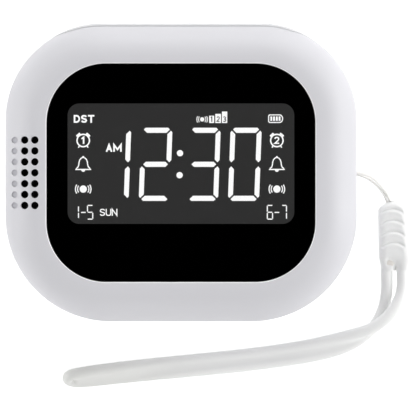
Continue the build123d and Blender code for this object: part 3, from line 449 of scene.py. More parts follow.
def web_points(stations=150, across=21):
    """The web's skin, two arcs a station, hollow towards each other's backs.

    At a station the strands' centres lie D apart. An arc of radius f touches both strands
    when its centre is H = sqrt((R + f)^2 - (D/2)^2) above their middle, and it starts where
    it touches, at D/2 * R / (R + f). f grows from both ends of the web, and most to the left.
    """
    line = line_of(strap)
    far = int(np.argmin(line[:, 0]))
    place = np.linspace(*web_ends, stations)
    sides = []
    for part in (line[:far][::-1], line[far:]):
        part = part[part[:, 0] < strands_part_x]
        sides.append(np.column_stack([place] + [np.interp(place, part[:, 0], part[:, k]) for k in (1, 2)]))
    low, high = sides
    apart = high - low
    distance = np.linalg.norm(apart, axis=1)
    apart = apart / distance[:, None]
    up = np.cross(np.gradient((low + high) / 2, axis=0), apart)
    up = up / np.linalg.norm(up, axis=1, keepdims=True)
    radius = strand_thick / 2
    ease = eased(np.minimum((place - web_ends[0]) / web_fades[0], (web_ends[1] - place) / web_fades[1]))
    leftward = np.clip((fillet_left_start - place) / fillet_left_run, 0, 1)
    f = fillet_least + ease * (fillet_growth + fillet_left_growth * leftward)
    half = distance / 2
    touch = half * radius / (radius + f)
    centre = np.sqrt(np.maximum((radius + f) ** 2 - half**2, 0))
    t = np.linspace(0, 1, across)
    run = touch[:, None] * (1 - t) + (distance - touch)[:, None] * t
    lift = centre[:, None] - np.sqrt(np.maximum(f[:, None] ** 2 - (run - half[:, None]) ** 2, 0))
    run = np.column_stack([touch * tuck_run_share, run, distance - touch * tuck_run_share])
    lift = np.column_stack([lift[:, 0] * tuck_lift_share, lift, lift[:, -1] * tuck_lift_share])
    run = np.concatenate([run, run[:, ::-1]], axis=1)
    lift = np.concatenate([lift, -lift[:, ::-1]], axis=1)
    return low[:, None, :] + run[..., None] * apart[:, None, :] + lift[..., None] * up[:, None, :]


web = finish_mesh("strap_web", web_points(), strap_silicone, smooth_angle=60)
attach(web, "case")

# Knot. The thin cord's end, tied and melted into a small lump, shows in the hollow at the
# sleeve's fork.
knot_centre = (0.05385, -0.02335, 0.00385)
knot_half = (0.00150, 0.00085, 0.00050)
knot_swell_share = 0.14


def knot_points(rows=24, columns=48, pole=0.02):
    """An egg of three half sizes whose radius swells by 14% along three slanted turns of cord.

    radius(u, v) = 1 + 0.14 sin(3u + 4v) sin(v), with u round the upright line and v from
    pole to pole.
    """
    v = np.linspace(pole, math.pi - pole, rows)[:, None]
    u = np.linspace(0, 2 * math.pi, columns, endpoint=False)[None, :]
    swell = 1 + knot_swell_share * np.sin(3 * u + 4 * v) * np.sin(v)
    ball = np.stack([np.sin(v) * np.cos(u), np.sin(v) * np.sin(u), np.cos(v) + 0.0 * u], axis=-1)
    return ball * swell[..., None] * knot_half + knot_centre


knot_melt = moulded("cord_end", (0.93, 0.905, 0.865), (0.84, 0.80, 0.745), 0.6, cloud=1500.0, amount=0.8,
                    grain=9000.0, bump=0.00003)
knot = finish_mesh("cord_knot", knot_points(), knot_melt)
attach(knot, "case")

# Case halves. Two shells moulded in matt white plastic, 2 mm thick, that meet halfway up. The
# front edge is rolled by 9.8 mm and the rear edge by 8 mm; the parting line shows as a groove.
shell_plastic = moulded(
    "shell_plastic", (0.745, 0.741, 0.775), (0.712, 0.709, 0.742), 0.46, spread=0.06, cloud=35.0,
    amount=0.5, grain=9000.0, bump=0.000005,
)
case_half = (0.045, 0.038)
case_top_r = 0.02445
case_low_r = 0.0270
case_wall = 0.002
front_roll = 0.0098
rear_roll = 0.0080
front_level = 0.0280
parting_level = 0.0140
parting_ease = 0.00018
parting_gap = 0.00002
window_half = (0.03416, 0.02776)
window_r = 0.0152
window_ease = 0.00019
window_rim = ((-0.00020, 0.0), (0.00002, 0.00015), (0.0, window_ease))
window_undercut = 0.0015
opening_half = (0.0308, 0.0180)
opening_r = 0.0006
opening_rise = 0.0023
lens_seat_level = 0.02595
deck_low_level = 0.02395
crease_angle = 28


def ring_frame(half, r_top, r_low, rise=0.0, arc=40, top=30, side=20):
    """A rounded rectangle as three arrays over its length: centre, radius and direction.

    A point at inset d is centre + (radius - d) * direction. On a straight side the direction
    stays and the centre runs from one corner's to the next, so every such outline has points
    in the same order and rings of different outlines can be joined.
    """
    corners = np.array([
        (half[0] - r_top, half[1] - r_top, r_top), (r_top - half[0], half[1] - r_top, r_top),
        (r_low - half[0], r_low - half[1], r_low), (half[0] - r_low, r_low - half[1], r_low),
    ])
    places, degrees = [], []
    for quarter, count in enumerate((top, side, top, side)):
        steps = np.linspace(0, 1, count, endpoint=False)[:, None]
        places.append(np.repeat(corners[quarter:quarter + 1], arc, 0))
        places.append(corners[quarter] * (1 - steps) + corners[(quarter + 1) % 4] * steps)
        degrees.append(90 * (quarter + np.linspace(0, 1, arc, endpoint=False)))
        degrees.append(np.full(count, 90 * (quarter + 1)))
    places, angle = np.concatenate(places), np.radians(np.concatenate(degrees))
    return places[:, :2] + (0.0, rise), places[:, 2], np.column_stack([np.cos(angle), np.sin(angle)])


def ring_at(outline, inset, level):
    """One ring of an outline, moved inward by the inset and set at a height."""
    centre, radius, direction = outline
    flat = centre + np.maximum(radius - inset, 0)[:, None] * direction
    return np.column_stack([flat, np.full(len(flat), level)])


case_outline = ring_frame(case_half, case_top_r, case_low_r)
window_outline = ring_frame(window_half, window_r, window_r)
opening_outline = ring_frame(opening_half, opening_r, opening_r, opening_rise)


def rolled(roll, inset, start, way, turn):
    """Rings over a rolled edge, as outline, inset and height.

    At each angle the inset grows by roll * (1 - cos) and the height by way * roll * sin.
    """
    steps = [(roll * (1 - math.cos(phi)), way * roll * math.sin(phi)) for phi in turn]
    return [(case_outline, inset + back, start + rise) for back, rise in steps]


def front_half():
    """Rings of the front shell, carried from the parting line over the rolled edge and down
    the window to the lens seat, then back along the inner wall; the last joins the first."""
    turn = np.linspace(0, math.pi / 2, 22)
    start = front_level - front_roll
    rings = [
        (case_outline, parting_ease, parting_level), (case_outline, 0.0, parting_level + parting_ease),
        (case_outline, 0.0, (parting_level + start) / 2),
        *rolled(front_roll, 0.0, start, 1, turn),
        *[(window_outline, inset, front_level - depth) for inset, depth in window_rim],
        (window_outline, 0.0, lens_seat_level), (opening_outline, 0.0, lens_seat_level),
        (opening_outline, 0.0, deck_low_level), (window_outline, -window_undercut, deck_low_level),
        *rolled(front_roll - case_wall, case_wall, start, 1, turn[::-2][3:]),
        (case_outline, case_wall, parting_level),
    ]
    return np.array([ring_at(*ring) for ring in rings])


def rear_half():
    """Rings of the rear shell, from the inner floor up the inner wall to the parting line and
    down round the rear edge to the flat rear face; a flat face closes each end."""
    turn = np.linspace(0, math.pi / 2, 20)
    low_edge = parting_level - parting_gap
    rings = [
        *rolled(rear_roll - case_wall, case_wall, rear_roll, -1, turn[::-1]),
        (case_outline, case_wall, low_edge), (case_outline, parting_ease, low_edge),
        (case_outline, 0.0, low_edge - parting_ease), (case_outline, 0.0, (parting_level + rear_roll) / 2),
        *rolled(rear_roll, 0.0, rear_roll, -1, turn),
    ]
    return np.array([ring_at(*ring) for ring in rings])


def joined(grids):
    """Points and faces of several closed shapes in one mesh."""
    points, faces, count = [], [], 0
    for grid in grids:
        rows, columns = grid.shape[:2]
        points.append(grid.reshape(-1, 3))
        faces += ring_faces(rows, columns, first=count)
        count += rows * columns
    return np.concatenate(points), faces


def cut(piece, shapes):
    """Cuts closed shapes out of a piece for good and sharpens the new edges."""
    tool = new_object("cutter", new_mesh("cutter", *joined(shapes)))
    face_outward(tool.data)
    change = piece.modifiers.new("cut", "BOOLEAN")
    change.operation = "DIFFERENCE"
    change.solver = "EXACT"
    change.object = tool
    bpy.context.view_layer.update()
    made = bpy.data.meshes.new_from_object(piece.evaluated_get(bpy.context.evaluated_depsgraph_get()))
    piece.modifiers.clear()
    old = piece.data
    piece.data = made
    made.name = piece.name
    bpy.data.meshes.remove(old)
    bpy.data.meshes.remove(tool.data)
    sharpen(made, crease_angle)


def circle(r, steps=48):
    """Points round a circle."""
    turn = np.linspace(0, 2 * math.pi, steps, endpoint=False)
    return r * np.column_stack([np.cos(turn), np.sin(turn)])


def stadium(half_run, r, steps=32):
    """Points round a slot shape: two half circles joined by straight sides."""
    turn = np.linspace(-math.pi / 2, math.pi / 2, steps)
    right = np.column_stack([half_run + r * np.cos(turn), r * np.sin(turn)])
    return np.concatenate([right, -right])


def carried(outline, centre, places, axis):
    """An outline moved to its centre and carried along an axis: 0 is X and 1 is Y."""
    return np.array([np.insert(outline + centre, axis, place, axis=1) for place in places])


grille_r = 0.00095
grille_columns = (-0.0371, -0.0397, -0.0423)
grille_rows = (np.arange(7) - 3) * 0.00277
grille_rim = ((1.0, 0.00016), (1.03, 0.00006), (1.10, -0.00001), (1.16, -0.0003))
grille_low_level = deck_low_level - 0.0035
grille_steps = 40
dimple_r = 0.00080
dimple_depths = (0.00028, 0.00150)
dimple_ease = ((0.96, 0.0), (1.0, 0.00006))


def roll_height(x):
    """Height of the rolled front edge over a place near the straight left side."""
    inset = np.clip(x + case_half[0], 0, front_roll)
    return front_level - front_roll + np.sqrt(front_roll**2 - (front_roll - inset) ** 2)


def grille_cutters():
    """Round holes whose rims are eased along the sloping surface. Two columns go through the
    wall; the third is a column of dimples whose flat floor slopes less than the surface, from
    0.28 mm under the low side of the rim to 1.5 mm under its high side."""
    tools = []
    for x in grille_columns:
        blind = x == grille_columns[-1]
        radius = dimple_r if blind else grille_r
        low_side, high_side = roll_height(np.array([x - radius, x + radius])) - dimple_depths
        for y in grille_rows:
            rings = []
            for share, lift in dimple_ease:
                flat = circle(radius * share, grille_steps) + (x, y)
                slope = low_side + (high_side - low_side) * (flat[:, 0] - x + radius) / (2 * radius)
                level = slope if blind else np.full(len(flat), grille_low_level)
                rings.append(np.column_stack([flat, level + lift]))
            for share, drop in grille_rim:
                flat = circle(radius * share, grille_steps) + (x, y)
                rings.append(np.column_stack([flat, roll_height(flat[:, 0]) - drop]))
            tools.append(np.array(rings))
    return tools


bar_plan_half = 0.0271
bar_plan_r = 0.0074
bar_level = 0.0140
bar_gap = 0.0002
bar_slot_reach = (0.027, 0.046)
bar_slot = carried(stadium(bar_plan_half, bar_plan_r + bar_gap, 40), (0.0, bar_level), bar_slot_reach, axis=1)
rim_depth = 0.0002
rim_tilts = (0.3, 0.95)
wall_tilt = 0.1
seat_reach = 0.00005

front_grid = front_half()
front_rows, front_columns = front_grid.shape[:2]
front_faces = np.array(ring_faces(front_rows + 1, front_columns, caps=False)) % (front_rows * front_columns)
front = finish_mesh("front_case", front_grid, shell_plastic, crease_angle, front_faces.tolist())
# Painted highlight: the window's rim gets a lighter white than the shell, and a smoother finish.
front.data.materials.append(moulded(
    "window_rim", (0.97, 0.968, 0.985), (0.95, 0.948, 0.965), 0.25, grain=9000.0, bump=0.000002,
))
# Painted shade: black for the window wall and lens seat, standing for the shade in the gap round the panel.
front.data.materials.append(moulded(
    "window_gap_painted_shade", (0.006, 0.006, 0.006), (0.004, 0.004, 0.004), 0.8, grain=2500.0, Specular_IOR_Level=0.1,
))


def face_heights(mesh, kind):
    """The Z of every face's center or normal."""
    values = np.empty(len(mesh.polygons) * 3)
    mesh.polygons.foreach_get(kind, values)
    return values[2::3]


# The window's rounded rim is painted a lighter white as a painted highlight, and is smoother too; its wall
# and the lens seat are painted black as painted shade in the gap round the panel.
level, upward = face_heights(front.data, "center"), face_heights(front.data, "normal")
rim = (level > front_level - rim_depth) & (upward > rim_tilts[0]) & (upward < rim_tilts[1])
wall = (level > lens_seat_level + seat_reach) & (level < front_level - window_ease)
wall = wall & (np.abs(upward) < wall_tilt)
seat = (np.abs(level - lens_seat_level) < seat_reach) & (upward > rim_tilts[1])
front.data.polygons.foreach_set("material_index", np.where(wall | seat, 2, rim).astype(np.int32))
cut(front, grille_cutters() + [bar_slot])
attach(front, "case")
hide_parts("front_shell")

# Rear half. The same moulding with a shallow key tray in its flat face, wells for four case
# screws, the charging socket's opening on the left and the strap's pocket on the right.
key_pitch = 0.008
key_row_y = 0.0205
key_row_x = -0.0265 + key_pitch * np.arange(6)
tray_half = (0.032, 0.0055)
tray_r = 0.005
tray_rim = (
    (0.0006, -0.0004), (0.0002, 0.0), (0.00005, 0.0001), (0.0, 0.0003), (0.0, 0.00085), (-0.00015, 0.001),
)
tray_hole = ((0.0, 0.0009), (0.0, 0.0035))
key_hole_run = 0.001
key_hole_r = 0.00225
slider_slot_x = 0.0245
slider_slot_half = (0.00385, 0.00175)
slider_slot_r = 0.0003
screw_wells = [(side * 0.0363, y) for side in (-1, 1) for y in (-0.02, 0.021)]
screw_well_r = 0.0022
well_hole = ((0.0, -0.001), (0.0, 0.0035))
socket_centre = (0.0, 0.00903)
socket_half_width = 0.00447
socket_r = 0.00163
socket_gap = 0.0002
socket_reach = (-0.046, -0.0420)
pocket_centre = (0.0, 0.0085)
pocket_half = (0.0018, 0.0028)
pocket_r = 0.0005
pocket_reach = (0.0410, 0.0460)


def rounded_box_ring(half_x, half_y, r, steps=8):
    """Points round a rectangle with rounded corners."""
    turn = np.linspace(0, math.pi / 2, steps)
    corner = np.column_stack([half_x - r + r * np.cos(turn), half_y - r + r * np.sin(turn)])
    return np.concatenate([corner, corner[::-1] * [-1, 1], -corner, corner[::-1] * [1, -1]])


def upright(outline, centre, stations):
    """An outline carried along Z: each station gives a growth of the outline and a height."""
    size = np.linalg.norm(outline, axis=1, keepdims=True)
    rings = [(outline * (1 + grow / size) + centre, level) for grow, level in stations]
    return np.array([np.insert(flat, 2, level, axis=1) for flat, level in rings])


def rear_cutters():
    """The shallow key tray, the openings in its floor, the screw wells, the socket's opening
    in the left side and the strap's pocket in the right side."""
    tools = [upright(rounded_box_ring(*tray_half, tray_r, 16), (0.0, key_row_y), tray_rim)]
    tools += [upright(stadium(key_hole_run, key_hole_r, 16), (x, key_row_y), tray_hole) for x in key_row_x]
    slider_slot = rounded_box_ring(*slider_slot_half, slider_slot_r)
    tools.append(upright(slider_slot, (slider_slot_x, key_row_y), tray_hole))
    tools += [upright(circle(screw_well_r), place, well_hole) for place in screw_wells]
    socket_ring = stadium(socket_half_width - socket_r, socket_r + socket_gap, 24)
    tools.append(carried(socket_ring, socket_centre, socket_reach, axis=0))
    tools.append(carried(rounded_box_ring(*pocket_half, pocket_r), pocket_centre, pocket_reach, axis=0))
    return tools


rear = finish_mesh("rear_case", rear_half(), shell_plastic, crease_angle)
cut(rear, rear_cutters())
cut(rear, [bar_slot])
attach(rear, "case")
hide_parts("rear_shell")

# Inside of the rear half that its openings show: a tube round each case screw, and the cup
# with the moulded pin that the strap's thin cord goes round. Same plastic, same moulding.
tower_profile = (
    (0.0001, 0.0139), (0.0028, 0.0139), (0.0028, 0.0010), (0.00221, 0.0010), (0.00221, 0.0050),
    (0.0001, 0.0050),
)
cup_outer_x = (0.0391, 0.0435)
cup_inner_x = (0.0435, 0.0404)
cup_wall = 0.0012
cup_gap = 0.00001
cup_outer_r = 0.0010
pin_centre = (0.0432, 0.0085)
pin_r = 0.0009
pin_ends = (-0.0022, 0.0022)


def turned(profile, centre):
    """A profile of (radius, height) turned round an upright line."""
    return np.array([np.insert(circle(r) + centre, 2, level, axis=1) for r, level in profile])


tower_points, tower_faces = joined([turned(tower_profile, place) for place in screw_wells])
towers = finish_mesh("screw_towers", tower_points, shell_plastic, crease_angle, tower_faces)
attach(towers, "case")

cup_outer = rounded_box_ring(pocket_half[0] + cup_wall, pocket_half[1] + cup_wall, cup_outer_r)
cup_inner = rounded_box_ring(pocket_half[0] + cup_gap, pocket_half[1] + cup_gap, pocket_r)
anchor_cup = np.concatenate([
    carried(cup_outer, pocket_centre, cup_outer_x, axis=0),
    carried(cup_inner, pocket_centre, cup_inner_x, axis=0),
])
anchor_pin = carried(circle(pin_r, 32), pin_centre, pin_ends, axis=1)
anchor_points, anchor_faces = joined([anchor_cup, anchor_pin])
anchor = finish_mesh("strap_anchor", anchor_points, shell_plastic, crease_angle, anchor_faces)
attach(anchor, "case")

# Snooze bar. One long moulded button of the same white plastic, a little smoother, that lies
# over the top edge, follows both rolled edges and both corners, and stands 0.35 mm proud.
bar_plastic = moulded(
    "bar_plastic", (0.765, 0.765, 0.785), (0.735, 0.735, 0.755), 0.40, spread=0.05, cloud=40.0,
    amount=0.5, grain=9000.0,
)
bar_raise = 0.00035
bar_raise_half = 0.020
bar_raise_fade = 0.0145
bar_ease = 0.00012
bar_skirt = 0.0030
bar_skin = 0.0018
bar_rim_wall = 0.0010
corner_x = case_half[0] - case_top_r
corner_y = case_half[1] - case_top_r


def top_surface(x, z, raised):
    """Y of the case's top edge over a place (x, z), grown by a height that fades at the ends.

    d(z) is how far the rolled front or rear edge falls back; on the straight top y is the
    half height less d, and round a corner the same d comes off the corner's radius.
    """
    raised = raised * (1 - np.clip((np.abs(x) - bar_raise_half) / bar_raise_fade, 0, 1) ** 2)
    front_start = front_level - front_roll
    over = np.clip(z - front_start, 0, front_roll)
    under = np.clip(rear_roll - z, 0, rear_roll)
    d = front_roll - np.sqrt((front_roll + raised) ** 2 - over**2)
    d_rear = rear_roll - np.sqrt((rear_roll + raised) ** 2 - under**2)
    d = np.where(z > front_start, d, np.where(z < rear_roll, d_rear, -raised))
    past = np.maximum(np.abs(x) - corner_x, 0)
    return corner_y + np.sqrt(np.maximum((case_top_r - d) ** 2 - past**2, 1e-12))


def bar_points(steps=56, run=110, rows=14):
    """Rings of the bar from its middle line to its rounded rim, down its skirt and back
    under it. A ring is the slot shape of radius q in (x, z), laid on the grown case surface
    and lowered by the rim's rounding or the skirt's depth."""
    turn = np.linspace(-math.pi / 2, math.pi / 2, steps)
    straight = np.linspace(1, -1, run)[1:-1]
    unit_x = np.concatenate([np.cos(turn), np.zeros(run - 2), -np.cos(turn), np.zeros(run - 2)])
    unit_z = np.concatenate([np.sin(turn), np.ones(run - 2), -np.sin(turn), -np.ones(run - 2)])
    base_x = np.concatenate([np.ones(steps), straight, -np.ones(steps), -straight]) * bar_plan_half
    phi = np.linspace(0, math.pi / 2, 7)[1:]
    flange_r = bar_plan_r - bar_rim_wall
    q = [*np.linspace(0.0, bar_plan_r - bar_ease, rows), *(bar_plan_r - bar_ease * (1 - np.sin(phi))),
         bar_plan_r, flange_r, flange_r, 0.0]
    drop = [*np.zeros(rows), *(bar_ease * (1 - np.cos(phi))), bar_skirt, bar_skirt, bar_skin, bar_skin]
    q, drop = np.array(q)[:, None], np.array(drop)[:, None]
    x = base_x + q * unit_x
    z = bar_level + q * unit_z
    y = top_surface(x, z, bar_raise)
    lean = np.maximum(np.abs(x) - corner_x, 0) * np.sign(x)
    length = np.hypot(lean, y - corner_y)
    return np.stack([x - drop * lean / length, y - drop * (y - corner_y) / length, z], axis=-1)


bar_grid = bar_points()
bar = finish_mesh("snooze_button", bar_grid, bar_plastic, 50, ring_faces(*bar_grid.shape[:2], caps=False))
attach(bar, "snooze")
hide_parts("snooze_bar")

# Front panel. Clear acrylic, 1.5 mm thick and glossy, set in the window on a ring of tape,
# with a black print on its back that leaves the display open.
lens_acrylic, lens_shader = new_material(
    "panel_clear", Base_Color=(1.0, 1.0, 1.0, 1.0), IOR=1.45, Transmission_Weight=1.0,
)
lens_wave = surface_noise(lens_acrylic.node_tree, Scale=90.0, Detail=1.0)
lens_polish = add_node(lens_acrylic.node_tree, "MapRange", lens_wave, To_Min=0.004, To_Max=0.015)
fill(lens_shader, Roughness=lens_polish.outputs["Result"])
mask_print = moulded("mask_print", (0.0022, 0.0022, 0.0023), (0.0016, 0.0016, 0.0016), 0.7, grain=4000.0,
                     bump=0.0000005, Specular_IOR_Level=0.0)
tape_black = moulded("tape_black", (0.02, 0.02, 0.02), (0.015, 0.015, 0.015), 0.8, grain=2500.0)


def dress(names, material):
    """Gives one material to the CAD nodes named."""
    for name in names:
        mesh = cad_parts[name].data
        mesh.materials.clear()
        mesh.materials.append(material)


dress(["lens_panel"], lens_acrylic)
dress(["lens_mask"], mask_print)
dress(["lens_tape"], tape_black)


# Display. A dark grey liquid-crystal glass lit from behind: the ground glows faintly and
# evenly, and every digit, letter and sign is a clear area that glows white.
def glowing(name, grey, strength, vary, scale):
    """A lit film: its glow is a grey, made a little uneven by a noise over the surface."""
    material, shader = new_material(
        name, Base_Color=(0.004, 0.004, 0.004, 1.0), Roughness=0.5, Specular_IOR_Level=0.0,
        Emission_Strength=strength,
    )
    noise = surface_noise(material.node_tree, Scale=scale, Detail=2.0)
    dim, bright = [(level, level, level, 1.0) for level in (grey * (1 - vary), grey * (1 + vary))]
    fill(shader, Emission_Color=blend(material.node_tree, noise, dim, bright))
    return material


display_ground = glowing("display_ground", 0.0296, 1.0, 0.05, 300.0)
display_light = glowing("display_light", 1.0, 1.06, 0.01, 200.0)
dress(["lcd_cell"], display_ground)
sign_level = 0.02584
display_centre = (-0.00021, 0.00216)


def ribbon(points, width, closed=False):
    """A flat band of constant width along a polyline, mitred at its corners.

    Each corner's two edge points lie on the bisector of its neighbours' normals, at half
    the width divided by the cosine of half the turn.
    """
    p = np.asarray(points, float)
    before, after = np.roll(p, 1, 0), np.roll(p, -1, 0)
    if not closed:
        before[0] = 2 * p[0] - p[1]
        after[-1] = 2 * p[-1] - p[-2]
    first = (p - before) / np.linalg.norm(p - before, axis=1, keepdims=True)
    second = (after - p) / np.linalg.norm(after - p, axis=1, keepdims=True)
    normal = np.column_stack([-first[:, 1], first[:, 0]])
    middle = normal + np.column_stack([-second[:, 1], second[:, 0]])
    middle = middle / np.linalg.norm(middle, axis=1, keepdims=True)
    reach = (width / 2) / np.sum(middle * normal, axis=1, keepdims=True)
    count = len(p)
    index = np.arange(count if closed else count - 1)
    after_index = (index + 1) % count
    faces = np.column_stack([index, after_index, after_index + count, index + count])
    return np.concatenate([p + middle * reach, p - middle * reach]), faces.tolist()


def bow(x, y, r, start, end, steps):
    """Points round a centre from one angle to another; a whole turn ends before its start."""
    turn = np.radians(np.linspace(start, end, steps, endpoint=end - start < 360))
    return np.column_stack([x + r * np.cos(turn), y + r * np.sin(turn)])


def area(points):
    """A filled outline."""
    return np.asarray(points, float), [list(range(len(points)))]


def box(low_x, low_y, high_x, high_y):
    """A filled rectangle."""
    return area([(low_x, low_y), (high_x, low_y), (high_x, high_y), (low_x, high_y)])


def disc(x, y, r, start=0.0, end=360.0, steps=40):
    """A filled round, or a filled part of one."""
    return area(bow(x, y, r, start, end, steps))


def arc(x, y, r, start, end, width, steps=28):
    """A curved band about a centre, from one angle to another."""
    return ribbon(bow(x, y, r, start, end, steps), width, end - start >= 360)


def placed(shapes, x, y, size=1.0):
    """Flat shapes, resized about their zero and moved."""
    return [(flat * size + (x, y), cells) for flat, cells in shapes]


def sign_mesh(name, shapes, material, level=sign_level, centre=display_centre,
              side=1):
    """Flat shapes in millimetres from a centre, made one mesh that faces up, or down for side -1."""
    points, faces, count = [], [], 0
    for flat, cells in shapes:
        for cell in cells:
            x, y = flat[cell].T
            upward = np.sum(x * np.roll(y, -1) - np.roll(x, -1) * y) > 0
            faces.append([count + corner for corner in (cell if upward else cell[::-1])])
        points.append(flat)
        count += len(flat)
    flat = np.concatenate(points) / 1000 * (side, 1) + centre
    mesh = new_mesh(name, np.column_stack([flat, np.full(len(flat), level)]), faces)
    mesh.materials.append(material)
    piece = new_object(name, mesh)
    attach(piece, "case")
    return piece


digit_segments = {
    "0": "abcdef", "1": "bc", "2": "abged", "3": "abgcd", "5": "afgcd", "6": "afgedc", "7": "abc",
}


def seven_segment(text, x, y, width, height, thick, side, gap, slant=0.0):
    """One digit of seven bars, given the place of its centre.

    Bars a, g and d lie across at the top, middle and bottom and are thick; f, b, e and c stand
    at the sides and have the side width. The long cuts run at 45 degrees and stay a gap apart,
    outer tips are blunt, and the digit leans: x grows by tan(slant) times y.
    """
    w, h, t, v = width / 2, height / 2, thick, side
    part = gap * math.sqrt(0.5)
    over = w - 0.26 * t - part
    high = h - 0.35 * t - part
    rest = 1.2 * gap
    middle = w - 0.62 * t
    across = np.array([
        (-over + 0.35 * t, h), (over - 0.35 * t, h), (over, h - 0.35 * t), (over - 0.65 * t, h - t),
        (-over + 0.65 * t, h - t), (-over, h - 0.35 * t),
    ])
    upper = np.array([
        (w - 0.26 * t, high), (w, high - 0.32 * t), (w, rest + 0.48 * v), (w - 0.4 * v, rest),
        (w - v, rest + 0.6 * v), (w - v, h - v - part - 0.09 * t),
    ])
    level = np.array([
        (-middle, 0), (-middle + t / 2, t / 2), (middle - t / 2, t / 2), (middle, 0),
        (middle - t / 2, -t / 2), (-middle + t / 2, -t / 2),
    ])
    bars = {
        "a": across, "d": across * [1, -1], "g": level,
        "b": upper, "c": upper * [1, -1], "f": upper * [-1, 1], "e": upper * [-1, -1],
    }
    lean = np.array([(1.0, 0.0), (math.tan(math.radians(slant)), 1.0)])
    return placed([area(bars[bar] @ lean) for bar in digit_segments[text]], x, y)


# Time. Four leaning digits of seven bars with blunt tips and the colon, all clear areas of
# the display glass.
time_shapes = [disc(-0.04, 2.81, 0.80), disc(-0.14, -2.78, 0.80)]
for digit, digit_x in (("1", -16.72), ("2", -6.24), ("3", 6.02), ("0", 16.44)):
    time_shapes += seven_segment(digit, digit_x, -0.02, 7.90, 18.59, 1.30, 1.22, 0.42, slant=2.1)
sign_mesh("time_digits", time_shapes, display_light)


# Small letters and weekday range. Plain letters in bands of even width; the weekday numbers
# are thin seven-bar digits.
def letters(text, x, low, high, width, stroke):
    """Capital letters between two heights, side by side over a width, in bands of one stroke.

    Each letter is a few polylines in a box from 0 to 1 both ways, set so that the band's
    outer edge touches the box. The open ends of some letters run out to the box's edge.
    """
    turn = np.linspace(math.pi / 2, -math.pi / 2, 12)
    round_back = [(0.45 + 0.55 * math.cos(b), 0.5 + 0.5 * math.sin(b)) for b in turn]
    lines_of = {
        "A": [[(0.0, 0.0), (0.5, 1.0), (1.0, 0.0)], [(0.17, 0.30), (0.83, 0.30)]],
        "M": [[(0.0, 0.0), (0.0, 1.0), (0.5, 0.25), (1.0, 1.0), (1.0, 0.0)]],
        "D": [[(0.0, 1.0)] + round_back + [(0.0, 0.0)]],
        "S": [[(0.98, 0.82), (0.80, 0.97), (0.5, 1.0), (0.2, 0.96), (0.04, 0.78), (0.12, 0.60), (0.5, 0.50),
               (0.88, 0.40), (0.98, 0.23), (0.82, 0.05), (0.5, 0.0), (0.18, 0.04), (0.02, 0.20)]],
        "T": [[(0.0, 1.0), (1.0, 1.0)], [(0.5, 1.0), (0.5, 0.0)]],
        "U": [[(0.0, 1.0), (0.0, 0.30), (0.10, 0.08), (0.32, 0.0), (0.68, 0.0), (0.90, 0.08), (1.0, 0.30),
               (1.0, 1.0)]],
        "N": [[(0.0, 0.0), (0.0, 1.0), (1.0, 0.0), (1.0, 1.0)]],
    }
    share = {"M": 1.25}
    space = stroke * 0.40
    unit = (width - space * (len(text) - 1)) / sum(share.get(c, 1.0) for c in text)
    inset = stroke / 2
    shapes = []
    for c in text:
        wide = unit * share.get(c, 1.0)
        for line in lines_of[c]:
            p = np.array(line) * (wide - stroke, high - low - stroke) + (x + inset, low + inset)
            if c in "TUNMA":
                ends = np.arange(len(p)) % (len(p) - 1) == 0
                p[ends & (p[:, 1] <= low + inset + 1e-9), 1] = low
                p[ends & (p[:, 1] >= high - inset - 1e-9) & (c in "UN"), 1] = high
                if c == "T" and line[0][1] == line[1][1]:
                    p[:, 0] += (-inset, inset)
            shapes.append(ribbon(p, stroke, closed=c == "D"))
        x += wide + space
    return shapes


word_shapes = letters("DST", -27.05, 10.53, 12.54, 5.25, 0.44)
word_shapes += letters("AM", -18.94, 3.16, 5.12, 4.11, 0.44)
word_shapes += letters("SUN", -20.47, -13.12, -11.32, 4.52, 0.27)
for digit, digit_x, wide, tall in (("1", -26.5, 1.6, 3.4), ("5", -22.88, 1.6, 3.75), ("6", 22.82, 1.6, 3.75),
                                   ("7", 26.45, 1.4, 3.75)):
    word_shapes += seven_segment(digit, digit_x, -12.2, wide, tall, 0.27, 0.27, 0.09)
for dash_ends in ((-25.17, -24.0), (24.0, 25.19)):
    word_shapes.append(ribbon([(end, -12.24) for end in dash_ends], 0.28))
sign_mesh("display_words", word_shapes, display_light)


# Signs. Two numbered alarm clocks, two bells, two shaking signs, the shaking level with
# three numbered steps, and the battery.
def alarm_sign(number):
    """A ring with two bells on its shoulders, two short feet and its number."""
    shapes = [arc(0, 0, 1.57, 0, 360, 0.36, 48)]
    for side in (-1, 1):
        out = np.radians(90 - side * 41)
        bell = 1.92 * np.array([math.cos(out), math.sin(out)])
        along = 0.60 * np.array([math.sin(out), -math.cos(out)])
        shapes.append(ribbon([bell - along, bell + along], 0.50))
        shapes.append(ribbon([(side * 0.98, -1.30), (side * 1.22, -1.84)], 0.30))
    if number == 1:
        shapes.append(ribbon([(-0.44, 0.42), (0.10, 0.80), (0.10, -0.86)], 0.42))
    else:
        shapes.append(ribbon([
            (-0.52, 0.42), (-0.36, 0.70), (0, 0.80), (0.38, 0.68), (0.48, 0.36), (0.30, 0.02),
            (-0.50, -0.70), (0.60, -0.70),
        ], 0.34))
    return shapes


def bell_sign():
    """The outline of a hand bell with a thin lip below it and a round clapper."""
    side = [(-1.78, -1.22), (-1.30, -0.78), (-1.12, -0.20), (-1.06, 0.42), (-0.88, 1.02), (-0.48, 1.46)]
    outline = side + [(0.0, 1.66)] + [(-x, y) for x, y in side[::-1]]
    return [ribbon(outline, 0.29), ribbon([(-2.02, -1.42), (2.02, -1.42)], 0.30),
            ribbon([(0, 1.66), (0, 1.98)], 0.42), disc(0, -1.52, 0.52, 180, 360.5, 16)]


def shaking_sign(r=0.93, bows=((1.44, 36), (1.98, 34)), width=0.27):
    """A disc between two pairs of bowed lines."""
    shapes = [disc(0, 0, r)]
    for side in (0, 180):
        shapes += [arc(0, 0, bow_r, side - half, side + half, width, 16) for bow_r, half in bows]
    return shapes


